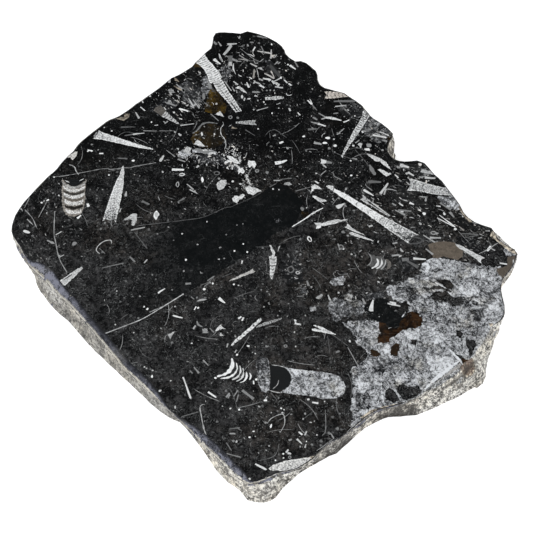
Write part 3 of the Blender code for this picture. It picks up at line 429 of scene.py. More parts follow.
# Curved slivers of thin shell: the points along the middle, the width, how pale.
bows = [
    ([(-187.5, 20), (-184.5, 16)], 1, 0.6), ([(-181, 29), (-182, 25), (-184, 18.6)], 0.8, 0.5),
    ([(-183.5, 18), (-179.5, 13.5), (-176, 9), (-173, 3), (-171.5, 0)], 0.9, 0.55),
    ([(-180.5, 9), (-175, 3.5)], 0.9, 0.6), ([(-167, 26), (-168, 22), (-170, 16), (-172, 10)], 0.9, 0.5),
    ([(-153.5, 60), (-150.5, 59), (-148.5, 57), (-148, 55), (-146.5, 52.5), (-145, 50.5)], 1, 0.7),
    ([(-155.5, 45), (-153.6, 44), (-151.5, 43)], 1, 0.8), ([(-144, 44.5), (-140.5, 46.5)], 1, 0.8),
    ([(-157.5, 47), (-157, 44), (-156, 41)], 0.7, 0.6),
    ([(-163, -10), (-160, -11.6), (-157, -13)], 1.8, 0.5),
    ([(-114, -13), (-115, -10), (-120, -11), (-124, -15), (-125, -19), (-122, -22)], 1.24, 0.7),
    ([(-123, -17), (-120.6, -19.4), (-118, -22)], 0.9, 0.5),
    ([(-33, 103), (-32.5, 100), (-34.5, 96), (-34, 90), (-31, 85), (-30, 79), (-31, 75)], 1, 0.7),
    ([(-57, 91), (-53, 95), (-50, 100), (-46, 102), (-42, 102), (-37, 101)], 1.6, 0.34),
    ([(-55, 75), (-50, 74), (-47, 72), (-42, 73), (-38, 73)], 2.3, 0.4),
    ([(-59, 67), (-56, 69), (-50, 69)], 1.1, 0.5), ([(-13, 49), (-11, 53), (-9, 57)], 1, 0.42),
    ([(-16, 47), (-15, 40), (-13, 33)], 0.9, 0.3), ([(-12, 50), (-10, 42)], 0.9, 0.3),
    ([(-81.5, 30), (-80, 26)], 1.2, 0.5), ([(-13, 72), (-14.5, 67)], 0.9, 0.5),
    ([(-38, 176), (-37, 171), (-35, 167)], 1, 0.6),
    ([(-20, 182), (-14, 176), (-8, 170), (-4, 168)], 0.8, 0.5),
    ([(-22, 185), (-19, 184), (-16, 186)], 0.8, 0.45), ([(-6, 167), (-3, 167.5), (0, 170.5)], 0.9, 0.6),
    ([(-14, 170.5), (-17, 167), (-20, 162)], 0.8, 0.5), ([(-14, 170), (-11, 168), (-7, 169)], 0.7, 0.5),
    ([(-2, 184), (-0.5, 179), (1, 176)], 0.8, 0.4), ([(-20, 184.5), (-18, 185.4), (-16, 187)], 0.7, 0.4),
    ([(19, 133), (19.5, 131), (22, 130.5), (23.5, 132)], 1, 0.8),
    ([(1, 88), (4, 92.5), (7, 94.5), (10, 94.5), (14, 91), (19, 86.5)], 1.1, 0.24),
    ([(5, 92), (5.5, 86)], 0.9, 0.26), ([(47, 87), (47.5, 89.5), (50, 91.5)], 1, 0.6),
    ([(84, 60), (85.6, 55), (88, 50)], 2.8, 0.4), ([(73, 75), (79, 66), (84, 58)], 0.7, 0.3),
    ([(80, 42), (80, 40), (83, 37), (85, 35)], 1, 0.5), ([(148, -2), (152, -8), (155, -12)], 0.6, 0.5),
    ([(161, -22), (167, -19), (170, -17), (175, -13.5), (180, -10.5)], 1, 0.6),
    ([(170, -10), (172, -17)], 0.8, 0.35), ([(103, -17), (103.6, -19), (105, -20)], 1.5, 0.6),
    ([(112, -7), (117.6, -8), (120, -10), (117, -12.6), (110, -13)], 1.6, 0.2),
    ([(-65, -74), (-62, -74.5), (-58, -75.5)], 1, 0.85), ([(-48, -62), (-45, -61), (-41, -60.5)], 1.3, 0.6),
    ([(-46.5, -37), (-46, -38.5), (-44.5, -38.5)], 0.8, 0.5),
    ([(-47.5, -78), (-46.5, -81), (-43, -83)], 1.3, 0.42), ([(-5, -57), (-6, -59), (-4, -62)], 0.9, 0.4),
    ([(13, -15), (12, -16), (11, -20)], 1.2, 0.62), ([(23, -53), (27, -51), (31, -53)], 0.8, 0.32),
    ([(32.5, -27.5), (33.5, -28.5), (35, -28)], 1, 0.5),
    ([(55, -38), (57, -40), (62, -40), (64, -43)], 1, 0.34), ([(23, -42), (24.4, -43), (26, -43)], 1, 0.7),
    ([(-32, -74), (-36.4, -78), (-38, -84)], 0.8, 0.26),
    # nested septa of the weathered cone
    ([(78, -20.5), (80.7, -25), (80, -29.5), (77, -32.5)], 0.9, 0.5),
    ([(84.7, -26), (85.6, -29), (84, -32.3), (80.5, -34.5)], 1.7, 0.85),
    ([(88.2, -26), (88.3, -30), (86.7, -33), (84, -34.7)], 1.6, 0.8),
    ([(91.2, -27), (91, -30), (89.5, -33), (87, -35.5)], 1.2, 0.6),
    # the cups of a broken shell, largest first
    ([(-22, -107.3), (-21.3, -112), (-23, -116.5), (-26.5, -119.6), (-32, -121.3)], 2.2, 0.96),
    ([(-18.7, -111), (-18, -115.5), (-20, -119.5), (-24, -122), (-29.5, -122.8)], 1.6, 0.9),
    ([(-16.2, -113), (-15.6, -117.5), (-17.6, -121.6), (-21.5, -123.8)], 1.25, 0.8),
    ([(-14, -115), (-13.6, -119.5), (-15.2, -123), (-18.5, -125)], 1.25, 0.8),
    ([(-11.5, -118), (-11.3, -121.5), (-13, -124.6), (-16, -126)], 1.25, 0.9),
    ([(-9.3, -118.5), (-8.4, -121), (-9.2, -123.8)], 1.25, 0.95),
    ([(6, -112.5), (11, -113.2), (16, -114.5)], 0.8, 0.7),
    ([(4, -131.5), (8, -132.8), (12, -133.5)], 1, 0.7), ([(11, -124), (10, -127.5), (7, -130.5)], 1.2, 0.6),
    ([(-39.5, -142.5), (-41, -142), (-43, -144), (-42, -150), (-40.5, -157), (-39, -162), (-35, -170)],
      1.2, 0.62),
    ([(0.5, -154.5), (3, -155.5), (6, -152), (13, -149), (14.8, -152), (14.5, -157), (11.5, -162.5)],
      0.9, 0.62),
    ([(42.7, -146), (42.7, -158), (42, -162), (40, -164.5)], 0.8, 0.44),
    ([(-3, -182), (5, -180), (9, -177), (11, -170)], 0.7, 0.32),
    ([(-18, -158), (-16, -160), (-14, -161)], 0.7, 0.34),
    ([(62, -156.5), (58, -161), (54, -164.5), (50, -166.5), (46, -168), (42, -171), (36, -175)], 0.8, 0.5),
]

# Shells cut square across: middle, width, height, turn, wall thickness, how pale.
rings = [
    (-64, 50.5, 4.8, 3, 10, 0.9, 0.8), (-67, 41, 2.8, 5.2, 0, 0.8, 0.55),
    (-27, 107.6, 3.4, 3.8, 0, 0.9, 0.4), (35, -9, 3.4, 5.4, 25, 0.9, 0.9),
    (20.5, -35.5, 5.6, 6.4, 0, 1, 0.32), (16, -98, 2.8, 2.6, 0, 0.7, 0.42),
    (129, -3.5, 4.8, 3.2, 0, 0.8, 0.55), (18, -179.5, 2.4, 2.2, 0, 0.6, 0.4),
    (58.6, -16, 4, 4.6, 30, 0.9, 0.4), (25.6, -38.2, 3.4, 3, 0, 0.9, 0.6),
    (-36.6, 51.8, 4.6, 4.2, 0, 0.8, 0.3), (-66.4, 136, 3.4, 4.6, 15, 0.7, 0.4),
    (53, 34, 3.8, 4.4, 0, 0.7, 0.26), (-5, 54, 3.4, 3.2, 0, 0.9, 0.45),
]

# Veins of calcite: width, how pale, then the points that they run through.
veins = [
    (0.8, 0.5, [(-165, 48.5), (-155, 49.5), (-127, 56), (-120, 55.5), (-110, 57), (-105, 57), (-101, 58.5),
      (-85, 62)]),
    (0.6, 0.4, [(-122, 53.5), (-112, 56)]),
    (0.9, 0.5, [(-160, 16), (-158.5, -3), (-156.5, -11), (-152, -26), (-145, -38)]),
    (0.7, 0.26, [(-95, 3), (-60, 8), (-45, 11), (-30, 19), (-25, 20)]),
    (0.6, 0.2, [(-25, 20), (-7, 29.6), (0, 35)]), (0.9, 0.6, [(-117, -90), (-92, -79)]),
    (1, 0.74, [(-92, -79), (-83, -74), (-58, -56)]), (0.8, 0.5, [(-82, -71), (-72, -66)]),
    (0.7, 0.34, [(-46, -49), (-40, -46), (-36, -41)]),
    (1.2, 0.92, [(46, 19), (38, 14.5), (33, 10), (22, 2)]), (0.5, 0.2, [(20, 0), (40, 10)]),
    (0.5, 0.24, [(96, -2), (101, -24), (104, -34)]),
]

# Broken lumps of shell and of limy silt: outline, how pale, how rusty. The rustier ones are silt.
lumps = [
    ([(-29, 69), (-25, 68), (-21, 65), (-18, 61), (-22, 61.4), (-25, 63), (-31, 61), (-30, 63.6),
      (-27, 65)], 0.98, 0),
    ([(-12, 64), (-7, 63.6), (-5.4, 60), (-7, 56.8), (-9, 59), (-11, 57), (-12.4, 60.4)], 1, 0),
    ([(-36, 43), (-33, 45.5), (-29, 45), (-28.5, 42), (-31, 37), (-35, 35.5), (-36, 39)], 0.8, 0),
    ([(-20, 55.6), (-17, 57), (-14.6, 54), (-16, 50.6), (-17.4, 53), (-19.6, 50.8)], 1, 0),
    ([(-23, 60), (-21, 60.4), (-17.6, 56.4), (-19, 55.6)], 0.8, 0),
    ([(-15, 50), (-13.4, 50.4), (-9, 40), (-11.4, 41.6), (-12.4, 45)], 0.8, 0),
    ([(-64, 73), (-61, 78), (-57, 76), (-59, 73), (-56, 70), (-60, 71)], 0.78, 0),
    ([(-52, 74.4), (-46, 75.4), (-36, 70), (-42, 71)], 0.84, 0),
    ([(-106.5, 9), (-103, 11.5), (-100, 14.4), (-97, 13.4), (-96.4, 8), (-98.6, 2.6), (-100.4, 3.6),
      (-99.8, 8), (-102, 8.6), (-105.5, 8)], 0.76, 0),
    ([(-148, 73), (-149, 68), (-151, 64.5), (-153, 67), (-156, 67), (-155, 70), (-152, 71), (-150, 73)],
      0.86, 0.2),
    ([(-156, 40), (-152, 35.4), (-147.6, 33.4), (-143, 35.4), (-139, 40), (-142, 46), (-153, 46)],
      0.04, 0.1),
    ([(-120, 106), (-114, 104), (-110, 107), (-109, 111), (-113, 111.5), (-114, 107.6), (-117, 107.5)],
      0.5, 0.42),
    ([(-80, 136), (-77, 138), (-73, 133.5), (-77, 133.5)], 0.5, 0),
    ([(-75, 150), (-72, 148), (-70, 145), (-74, 146.4)], 0.5, 0.7),
    ([(-75, 141), (-70, 139), (-66, 135), (-71, 137)], 0.6, 0.5),
    ([(-39.5, 110.5), (-35.5, 114.5), (-32, 108), (-35, 109)], 0.9, 0),
    ([(-56, 80), (-53, 85), (-46, 78), (-50, 78)], 0.9, 0), ([(-25, 98), (-21, 96), (-26, 96)], 0.5, 0.5),
    ([(-18.5, 71), (-17.5, 62), (-19.5, 63)], 0.82, 0),
    ([(-24.5, 28), (-22, 30.5), (-19, 30), (-16, 32), (-14, 31), (-16, 28), (-19, 26), (-20, 23),
      (-23, 25)], 0.92, 0),
    ([(-14, 38), (-11, 40), (-8, 38), (-4, 37), (-1, 35), (-4, 34), (-8, 31), (-12, 33)], 0.92, 0),
    ([(5.5, 174.5), (10, 175), (8, 171.5)], 0.8, 0.3),
    ([(-5, 160), (-2, 161.5), (0, 157.5), (-3, 158.5)], 0.7, 0),
    ([(75, 80), (79, 81.5), (78, 77), (76.5, 79)], 0.7, 0),
    ([(18.4, 77.4), (20.8, 76), (19, 74.8)], 0.6, 0),
    ([(16, 41), (17, 43), (20, 43), (22.5, 41), (20, 40)], 0.62, 0),
    ([(37.5, 33.5), (37.5, 39.5), (40, 41), (43, 39.5), (45.5, 36.5), (40, 37)], 0.95, 0),
    ([(36.5, 12.5), (38, 15.8), (40.5, 15)], 0.92, 0),
    ([(150.3, 20), (152.1, 19.5), (155.3, 12.6), (159.2, 6.3), (157.6, 5.8), (153, 12.6)], 0.6, 0.6),
    ([(-30, -80.5), (-29.5, -83), (-27, -84.3), (-31, -85), (-34, -86.2), (-33, -83.5)], 0.94, 0),
    ([(-30, -87.5), (-28, -90), (-31, -90)], 0.8, 0),
    ([(-43.6, -84.4), (-40, -84), (-39.4, -87.6), (-43.2, -87.8)], 0.6, 0),
    ([(-68, -89), (-63, -86), (-66, -92.5)], 0.7, 0),
    ([(78.5, -21), (84, -24), (90, -25), (91, -30), (88, -35.5), (82, -34.5), (78, -32), (80.5, -28)],
      0.28, 0.1),
    ([(91, -26.6), (94, -27), (95.4, -31), (94, -35), (91.4, -35.4), (92.4, -31)], 0.34, 0.4),
    ([(22.5, -77), (24, -77.5), (24, -79.5), (27.5, -80.5), (27, -81.5), (22, -81), (23, -79)], 0.92, 0),
    ([(5, -112.5), (12, -113.5), (17, -116), (19.5, -120), (20, -124), (18.5, -128), (15, -131), (10, -132),
      (5, -131.5)], 0.04, 0.1),
    ([(173.5, -1.8), (179, -6.3), (184.2, -13.4), (193, -21), (190, -24), (181.5, -17), (177, -11.6),
      (171.5, -6.3)], 0.7, 0.45),
    ([(182.1, -24.9), (194, -22.6), (194, -29), (180.9, -43.7), (177.3, -44.6), (172.6, -36.8), (174, -34.4),
      (181, -32.6)], 0.24, 0.45),
    ([(124, -14), (128, -12), (136, -11), (144, -12), (147, -15), (150, -19), (149, -24), (145, -27),
      (140, -26), (135, -24), (130, -26), (127, -25), (125, -19)], 0.3, 0.6),
    ([(162, -80), (167, -80), (168, -85), (163, -85)], 0.7, 0.5),
    ([(114, -132), (121, -125), (138.5, -110.6), (140, -118), (128, -131), (118, -138)], 0.66, 0.2),
    ([(66, -152), (74, -146), (103, -138.5), (104, -142), (72, -152)], 0.8, 0.5),
    ([(24, -180.6), (31, -179.4), (40, -177), (44, -178), (34, -184), (28, -186)], 0.74, 0.5),
]

# Iron-stained patches of the mud: outline, how strong, how red.
stains = [
    ([(-44, 137), (-39, 136), (-34, 127), (-30, 118), (-31, 112), (-36, 113), (-42, 111), (-48, 114),
      (-49, 119), (-46, 127)], 0.72, 0),
    ([(-56, 84), (-54, 93), (-50, 98.6), (-43, 101), (-36, 99), (-31, 93), (-30, 85), (-34, 79), (-41, 76),
      (-50, 77)], 0.2, 0.1),
    ([(-58, 85), (-56, 92), (-52, 94), (-50, 86), (-52, 80), (-56, 79)], 0.8, 0),
    ([(-58, 168), (-54, 168), (-53, 161), (-58, 161)], 0.5, 0.4),
    ([(29, 16), (35, 15), (35, 10), (30, 11)], 0.4, 0.4),
    ([(100, 87), (104, 88), (108, 78), (107, 70), (102, 70), (100, 78)], 0.6, 0.2),
]

# The pale mass on the right where the mud gave way to coarse calcite, and what lies in it.
# Kinds: an island of coarse calcite, clean stone, clear and grey calcite, white ridges, dark mud,
# black mud, rust and red rust.
calciteMass = [(190, -36), (137, -27), (131, -25), (125, -26), (120, -29), (117, -33), (117, -38),
               (112, -42), (99, -47.5), (93, -49), (89, -53), (95, -61), (100, -63),
               (105, -62), (107, -66), (104, -71), (110, -72), (108, -77), (100, -83),
               (86, -84), (83, -79), (75, -77), (60, -78.5), (57, -80), (66, -90), (66, -96),
               (68, -98.5), (73, -101), (73, -107), (68, -110), (66, -114), (62, -114),
               (61, -117), (63, -120), (62, -126), (64, -128), (61, -138), (60, -146),
               (62, -153), (60, -157), (70, -175), (210, -120), (215, -40)]
massParts = [
    ("island", [(48.7, -61), (54.6, -58.6), (60, -62), (67.6, -61), (73.3, -62.7), (74.5, -68.4),
      (71.3, -74), (64.2, -73.3), (62.5, -76), (58, -74), (53.9, -79), (50.3, -77.3), (47, -66)]),
    ("clean", [(79.3, -60.2), (85.2, -58.6), (91, -61), (92, -67.6), (103, -76), (100, -82), (86, -83),
      (83, -79), (75.8, -75), (73, -67.6)]),
    ("white", [(128, -63), (133, -64), (137, -66), (139, -69), (136, -69), (131, -66)]),
    ("clear", [(143, -47), (152, -46), (158, -50), (157, -57), (149, -58), (144, -54)]),
    ("clear", [(100, -86), (106, -85), (112, -88), (110, -93), (103, -92)]),
    ("clear", [(107, -42.4), (111, -43), (112, -47), (108, -48)]),
    ("clear", [(115, -106), (123, -105), (133, -107), (135, -112), (126, -118), (117, -119)]),
    ("clear", [(65, -124), (71, -124), (72, -130), (66, -131)]),
    ("clear", [(90, -119), (99, -118), (102, -124), (93, -126)]),
    ("clear", [(163, -65), (170, -65), (171, -69), (164, -69)]),
    ("grey", [(98, -50), (108, -50), (113, -57), (108, -64), (101, -60), (96, -56)]),
    ("clear", [(150, -34), (163, -35), (166, -41), (155, -43), (148, -40)]),
    ("clear", [(86, -96), (90, -97), (89, -104), (85, -103)]),
    ("clear", [(118, -88), (127, -86), (131, -92), (122, -97)]),
    ("mud", [(95, -127), (103, -129), (108, -128), (110, -132), (106, -136), (101, -139.5), (96, -138),
      (93, -133), (93, -129)]),
    ("mud", [(85, -131), (89, -130.5), (92, -133), (94, -139), (90, -141), (85, -139), (84, -134)]),
    ("mud", [(138, -86), (141, -85.5), (143, -88), (141, -92), (138.5, -91)]),
    ("mud", [(135, -104), (140, -105), (143, -110), (139, -110)]),
    ("mud", [(144, -93), (150, -93), (152, -97), (148, -103), (146, -108)]),
    ("mud", [(125, -43), (130, -44), (136, -44), (139, -46), (140, -50), (138, -52), (134, -51)]),
    ("mud", [(116, -51), (118, -50), (122, -51), (125, -49), (130, -49), (139, -54), (137, -55), (132, -52),
      (125, -52), (120, -53)]),
    ("mud", [(122, -58), (125, -54), (135, -54), (137, -57), (140, -59), (145, -58), (147, -60), (146, -64),
      (141, -66), (137, -66), (134, -63), (128, -63), (124, -61)]),
    ("grey", [(145, -58), (150, -59), (151, -66), (146, -67)]),
    ("grey", [(150, -69), (158, -68), (160, -76), (152, -78)]),
    ("black", [(152, -63), (156, -63.4), (155.6, -65.4), (152.4, -65)]),
    ("grey", [(64, -134), (72, -133), (75, -139), (72, -146), (64, -145)]),
    ("grey", [(77, -114), (84, -113), (85, -118), (80, -121)]),
    ("mud", [(105, -92.4), (109, -93), (108.6, -97), (105.4, -96.4)]),
    ("red", [(81.5, -95), (81, -91), (84, -88), (83, -84), (83, -79), (88, -80), (90, -84), (98, -83),
      (98, -80), (100, -77), (103, -75), (105, -71), (108, -70), (111, -71), (114, -75), (115, -78),
      (114, -81), (110, -84), (104, -84), (99, -86), (94, -90), (90, -92), (90, -95), (85, -95.5)]),
    ("rust", [(91, -98), (93, -96), (98, -96), (94, -106), (90, -105)]),
    ("rust", [(76, -100), (81, -102), (84, -105), (80, -106), (76, -105)]),
    ("red", [(136.5, -109.5), (139, -107.5), (143, -108), (147, -110), (146, -115), (141, -115.5),
      (137.5, -114)]),
    ("clear", [(158, -86), (165, -85), (167, -96), (160, -97)]),
]
# white threads through the mass: width, how pale, then the points
massThreads = [
    (2.3, 1.05, [(112, -131), (113, -130), (120, -123), (128, -117), (133, -113), (138, -109.5)]),
    (1.7, 1.05, [(131.5, -100), (135, -105), (139, -110), (140.5, -115)]),
    (2.4, 0.85, [(118, -31), (122, -31), (122, -35), (119, -38)]),
    (0.8, 0.8, [(82.5, -118), (82, -132), (83.5, -143)]),
    (0.7, 0.8, [(125, -45), (129.4, -48.4), (134, -51)]), (0.7, 0.8, [(135, -54), (138, -58)]),
    (0.9, 0.7, [(100, -75), (101.6, -73), (103, -71)]), (0.9, 0.8, [(152, -60), (160, -64), (168, -66)]),
]

# mud-filled slits in the shells: both ends and both widths
darkSlits = [
    (-36.4, 138, -25, 119, 0.25, 0.45), (-27, 124, -21.5, 113.6, 0.6, 1.2),
    (-22.6, 119.4, -19.2, 114, 0.4, 0.8), (-147, -44.5, -141, -39.5, 0.5, 0.9),
    (149, -18.5, 160, -28, 0.5, 0.9), (91, 16.3, 80.6, 25.2, 0.5, 1.2), (128, -34.6, 133, -36, 0.4, 0.8),
    (10.6, 61.9, 11.4, 62.1, 0.5, 0.5),
]

# Shell hash, scattered by zones: middle, half width and half height of the zone, how many
# pieces, their smallest and largest length, how pale, their slope in degrees and how far it
# varies, and the share of them that are long and thin.
hashZones = [
    ((-8, 160), (36, 40), 190, (0.6, 3.8), (0.17, 0.95), -45, 60, 0.55),
    ((-66, 132), (30, 26), 165, (0.8, 4.4), (0.17, 0.9), -48, 22, 0.8),
    ((-60, 82), (46, 26), 240, (0.6, 3.2), (0.14, 0.75), -20, 70, 0.5),
    ((-28, 60), (44, 34), 220, (0.6, 3.4), (0.14, 0.75), -50, 60, 0.5),
    ((20, 128), (32, 26), 130, (0.5, 2.4), (0.16, 0.75), -40, 60, 0.4),
    ((84, 100), (26, 26), 150, (0.7, 3.4), (0.17, 0.68), 0, 90, 0.65),
    ((58, 78), (48, 48), 270, (0.4, 2), (0.16, 0.83), -20, 80, 0.35),
    ((44, 36), (44, 30), 220, (0.4, 1.8), (0.16, 0.75), -20, 80, 0.35),
    ((132, 12), (52, 52), 370, (0.8, 4.2), (0.21, 0.9), -32, 50, 0.72),
    ((98, -12), (34, 34), 120, (0.5, 2.4), (0.17, 0.68), -40, 60, 0.4),
    ((62, -30), (34, 30), 130, (0.5, 2.4), (0.16, 0.63), -50, 50, 0.4),
    ((8, -110), (62, 60), 300, (0.4, 2.2), (0.14, 0.68), -45, 60, 0.4),
    ((-6, -60), (46, 34), 110, (0.4, 1.8), (0.14, 0.63), -40, 70, 0.3),
    ((-60, -70), (60, 50), 110, (0.4, 1.5), (0.14, 0.63), -30, 80, 0.3),
    ((-164, 14), (28, 42), 150, (0.6, 3), (0.16, 0.75), -60, 30, 0.7),
    ((-124, 62), (40, 44), 170, (0.4, 2), (0.14, 0.63), -20, 80, 0.35),
    ((-108, -20), (44, 46), 120, (0.4, 1.9), (0.14, 0.63), -40, 60, 0.4),
    ((-26, 68), (6, 13), 46, (0.8, 3.4), (0.6, 1), -60, 90, 0.3),
    ((-13, 50), (5, 13), 46, (0.7, 2.8), (0.5, 1), -60, 110, 0.3),
    ((-9, 38), (9, 4), 24, (0.7, 2.6), (0.5, 1), 30, 110, 0.3),
    ((23, -35), (7, 9), 36, (0.5, 2.4), (0.3, 0.85), -40, 110, 0.5),
    ((29, -52), (8, 5), 28, (0.5, 2.4), (0.3, 0.8), 0, 110, 0.6),
    ((56, -42), (6, 6), 26, (0.5, 2.6), (0.3, 0.8), 0, 110, 0.5),
    ((80, -60), (22, 15), 90, (0.6, 3.4), (0.2, 0.7), -30, 90, 0.5),
    ((-57, 132), (14, 20), 54, (1, 5), (0.3, 0.85), -60, 110, 0.8),
    ((-38, 68), (26, 9), 90, (0.8, 3.6), (0.4, 0.95), 0, 110, 0.5),
    ((-31, 158), (5, 16), 40, (0.8, 3.6), (0.4, 0.95), 60, 110, 0.5),
    ((93, 96), (11, 14), 80, (0.8, 3.6), (0.3, 0.8), 0, 110, 0.6),
    ((-8, 162), (21, 22), 34, (3, 15), (0.45, 0.95), -40, 110, 1),
    ((130, 22), (34, 34), 46, (2, 9), (0.35, 0.9), -32, 70, 1),
    ((-50, 24), (44, 22), 120, (0.4, 2.2), (0.14, 0.68), -30, 70, 0.4),
]

# hair-thin slivers of shell, scattered over the slab
fibres = {
    "count": 130,
    "acrossSlab": (-150, 110),   # mm
    "alongSlab": (-170, 120),
    "length": (4, 22),
    "width": (0.26, 0.46),
    "pale": (0.26, 0.6),
}

# Clouds of half-crystallised mud: outline, how pale, how rusty.
hazes = [
    ([(-49, 152), (-43, 145), (-42.6, 134), (-47, 130), (-52, 136), (-51, 147)], 0.44, 0),
    ([(-57, 128), (-52, 131), (-50, 124), (-54, 121)], 0.5, 0),
    ([(-72, 140), (-64, 147), (-55, 141), (-51, 133), (-57, 119), (-66, 124)], 0.18, 0),
    ([(-94, 116), (-84, 124), (-76, 128), (-68, 124), (-74, 114), (-84, 108)], 0.12, 0),
    ([(2, 170), (8, 166), (14, 156), (10, 150), (2, 158)], 0.12, 0),
    ([(-38, 156), (-30, 166), (-26, 158), (-30, 146), (-33, 144)], 0.3, 0),
    ([(-56, 68), (-40, 72), (-24, 62), (-14, 58), (-20, 54), (-36, 60), (-52, 62)], 0.2, 0),
    ([(84, 112), (94, 106), (104, 96), (103, 84), (92, 82), (80, 92), (80, 104)], 0.3, 0.05),
    ([(60, 118), (72, 124), (84, 118), (78, 106), (64, 110)], 0.16, 0.1),
    ([(104, 62), (124, 60), (136, 52), (128, 49), (112, 55), (100, 58)], 0.24, 0.2),
    ([(104, 40), (114, 36), (124, 30), (130, 22), (116, 20), (102, 28)], 0.05, 0.4),
    ([(140, 20), (152, 14), (176, -6), (168, -12), (140, 10)], 0.1, 0.5),
    ([(146, -6), (158, -8), (172, -22), (160, -24), (148, -16)], 0.04, 0.2),
    ([(14, -26), (28, -26), (30, -46), (18, -48), (12, -36)], 0.08, 0.1),
    ([(100, -24), (114, -26), (116, -36), (106, -38), (98, -32)], 0.12, 0.1),
    ([(-186, -6), (-176, -12), (-168, -26), (-176, -28), (-184, -18)], 0.1, 0.3),
]

# The spar that fills the widest shell: outline, how pale.
shellFilling = [
    ([(-4, -106.5), (2.5, -106.5), (4, -110), (5, -118), (5, -126), (4.5, -131), (2, -133.5), (-1, -132),
      (-4.5, -124), (-4, -118), (-5, -113)], 0.44),
    ([(-4.4, -106.6), (2.4, -106.6), (3.8, -111), (4.4, -116), (-3.8, -117.4), (-4.8, -112)], 0.22),
    ([(15, -114.5), (48, -119), (53, -121), (56, -125), (57.5, -129), (56.5, -133), (54, -136),
      (50, -137.5), (46, -138), (40, -138), (35, -136), (20, -134.5), (12, -133), (18.5, -128), (20, -124),
      (19.5, -120), (17, -116)], 0.53),
    ([(19, -115.4), (25, -116), (28, -118.8), (23, -120.4)], 0.9),
]

# Lumps of coarse spar, curdled with mud: outline, how pale.
sparLumps = [
    ([(59, -57), (63.5, -56), (65.5, -59.4), (63.2, -62), (60.3, -61)], 0.9),
    ([(38.6, -59.4), (40, -57), (43, -57.7), (42.2, -60.2)], 0.9),
    ([(74, -57), (81, -54.4), (88.4, -54.4), (89, -58.6), (75, -61)], 0.26),
    ([(34, -66.8), (37.6, -66.8), (38.3, -70), (34.7, -70)], 0.9),
    ([(27, -50.3), (30.7, -51), (32.8, -55.3), (27.7, -55.3)], 0.4),
    ([(49, -47), (51.5, -42.7), (59, -41), (60.3, -44.4), (58.6, -48.6), (51.3, -49.4)], 0.66),
    ([(-68, 67), (-68, 73), (-63, 75.4), (-58, 74), (-57.6, 70), (-62, 66)], 0.84),
    ([(-57, 75.6), (-50, 76), (-46, 73.6), (-40, 74.6), (-37, 71.6), (-44, 70.4), (-50, 71.8), (-56, 72)],
      0.94),
    ([(133.8, 29.7), (147.8, 30.2), (152.2, 20.4), (150.4, 17.2), (143.6, 18.6), (138.6, 23.2)], 0.66),
    ([(181.7, -15), (186.8, -16), (193, -20.4), (193, -23.4), (181.3, -23.9), (179.8, -18.6)], 0.8),
    ([(8, 8.6), (12, 9.4), (14, 6.4), (10, 5.6)], 0.3),
]

# the band of clean black mud across the slab, where hardly any hash settled
cleanMud = [(-116, -2), (-90, 4), (-45, 11), (-15, 24), (12, 42.6), (22, 36), (31, 25), (28, 12), (22, 2),
            (10, -3), (0, -13), (-45, -48), (-75, -67), (-92, -76), (-104, -66), (-116, -40),
            (-122, -18)]

cutStyle = {
    # mm between the points of each kind of edge, and mm that it wanders
    "shellEdge": (0.8, 0.5),
    "bandEdge": (0.8, 0.85),
    "mudEdge": (1.5, 1.8),
    "massEdge": (1.6, 2.4),
    "partEdge": (1.2, 1.3),
    "hazeEdge": (1.2, 2.6),
    "stainEdge": (1.4, 1.6),
    "fillingEdge": (1.0, 0.5),
    "sparEdge": (0.9, 1.2),
    "lumpEdge": (1.0, 0.7),
    # the shares of the listed sizes that show
    "veinWidth": 0.7,
    "bowWidth": 0.66,
    "wideBowWidth": 0.95,
    "wideBow": 1.25,      # mm, from which a bow counts as wide
    "grainSize": 0.86,
    "siltWarmth": 0.4,    # lumps warmer than this are silt
    "seed": 52,
}


def stray(x, y, reach):
    # how far a cut edge wanders here, the same each time for the same place
    place = Vector((x * 0.8, y * 0.8, 3.7))
    return reach * noise.noise(place), reach * noise.noise(place + Vector((31.4, 17.2, 5.1)))


def crumbled(outline, step, reach):
    # the outline with its long sides broken into short uneven ones
    points = []
    for k, start in enumerate(outline):
        end = outline[(k + 1) % len(outline)]
        parts = max(1, round(math.dist(start, end) / step))
        for j in range(parts):
            x = start[0] + (end[0] - start[0]) * j / parts
            y = start[1] + (end[1] - start[1]) * j / parts
            dx, dy = stray(x, y, reach)
            points.append((x + dx, y + dy))
    return points


def curveThrough(points, spacing):
    # a smooth open curve through the points
    if len(points) == 2:
        (x1, y1), (x2, y2) = points
        points = [points[0], ((x1 + x2) / 2, (y1 + y2) / 2), points[1]]
    ends = [points[0]] + list(points) + [points[-1]]
    curve = []
    for k in range(1, len(ends) - 2):
        a, b, c, d = (Vector(ends[k + j]) for j in (-1, 0, 1, 2))
        parts = max(2, round((c - b).length / spacing))
        for j in range(parts):
            t = j / parts
            spot = 0.5 * (2 * b + (c - a) * t + (2 * a - 5 * b + 4 * c - d) * t * t
                          + (3 * b - a - 3 * c + d) * t ** 3)
            curve.append((spot.x, spot.y))
    return curve + [tuple(points[-1])]


def ribbon(spine, width, tapered):
    # a thin strip of uneven width that follows the spine
    left, right = [], []
    last = len(spine) - 1
    for k, (x, y) in enumerate(spine):
        ahead, behind = spine[min(k + 1, last)], spine[max(k - 1, 0)]
        dx, dy = ahead[0] - behind[0], ahead[1] - behind[1]
        length = math.hypot(dx, dy) or 1.0
        half = width / 2 * max(0.25, 0.95 + 1.1 * noise.noise(Vector((x * 0.4, y * 0.4, 8.1))))
        if tapered:
            half *= 0.3 + 0.7 * max(0.0, math.sin(math.pi * k / last)) ** 0.6
        left.append((x - dy / length * half, y + dx / length * half))
        right.append((x + dy / length * half, y - dx / length * half))
    return left + right[::-1]


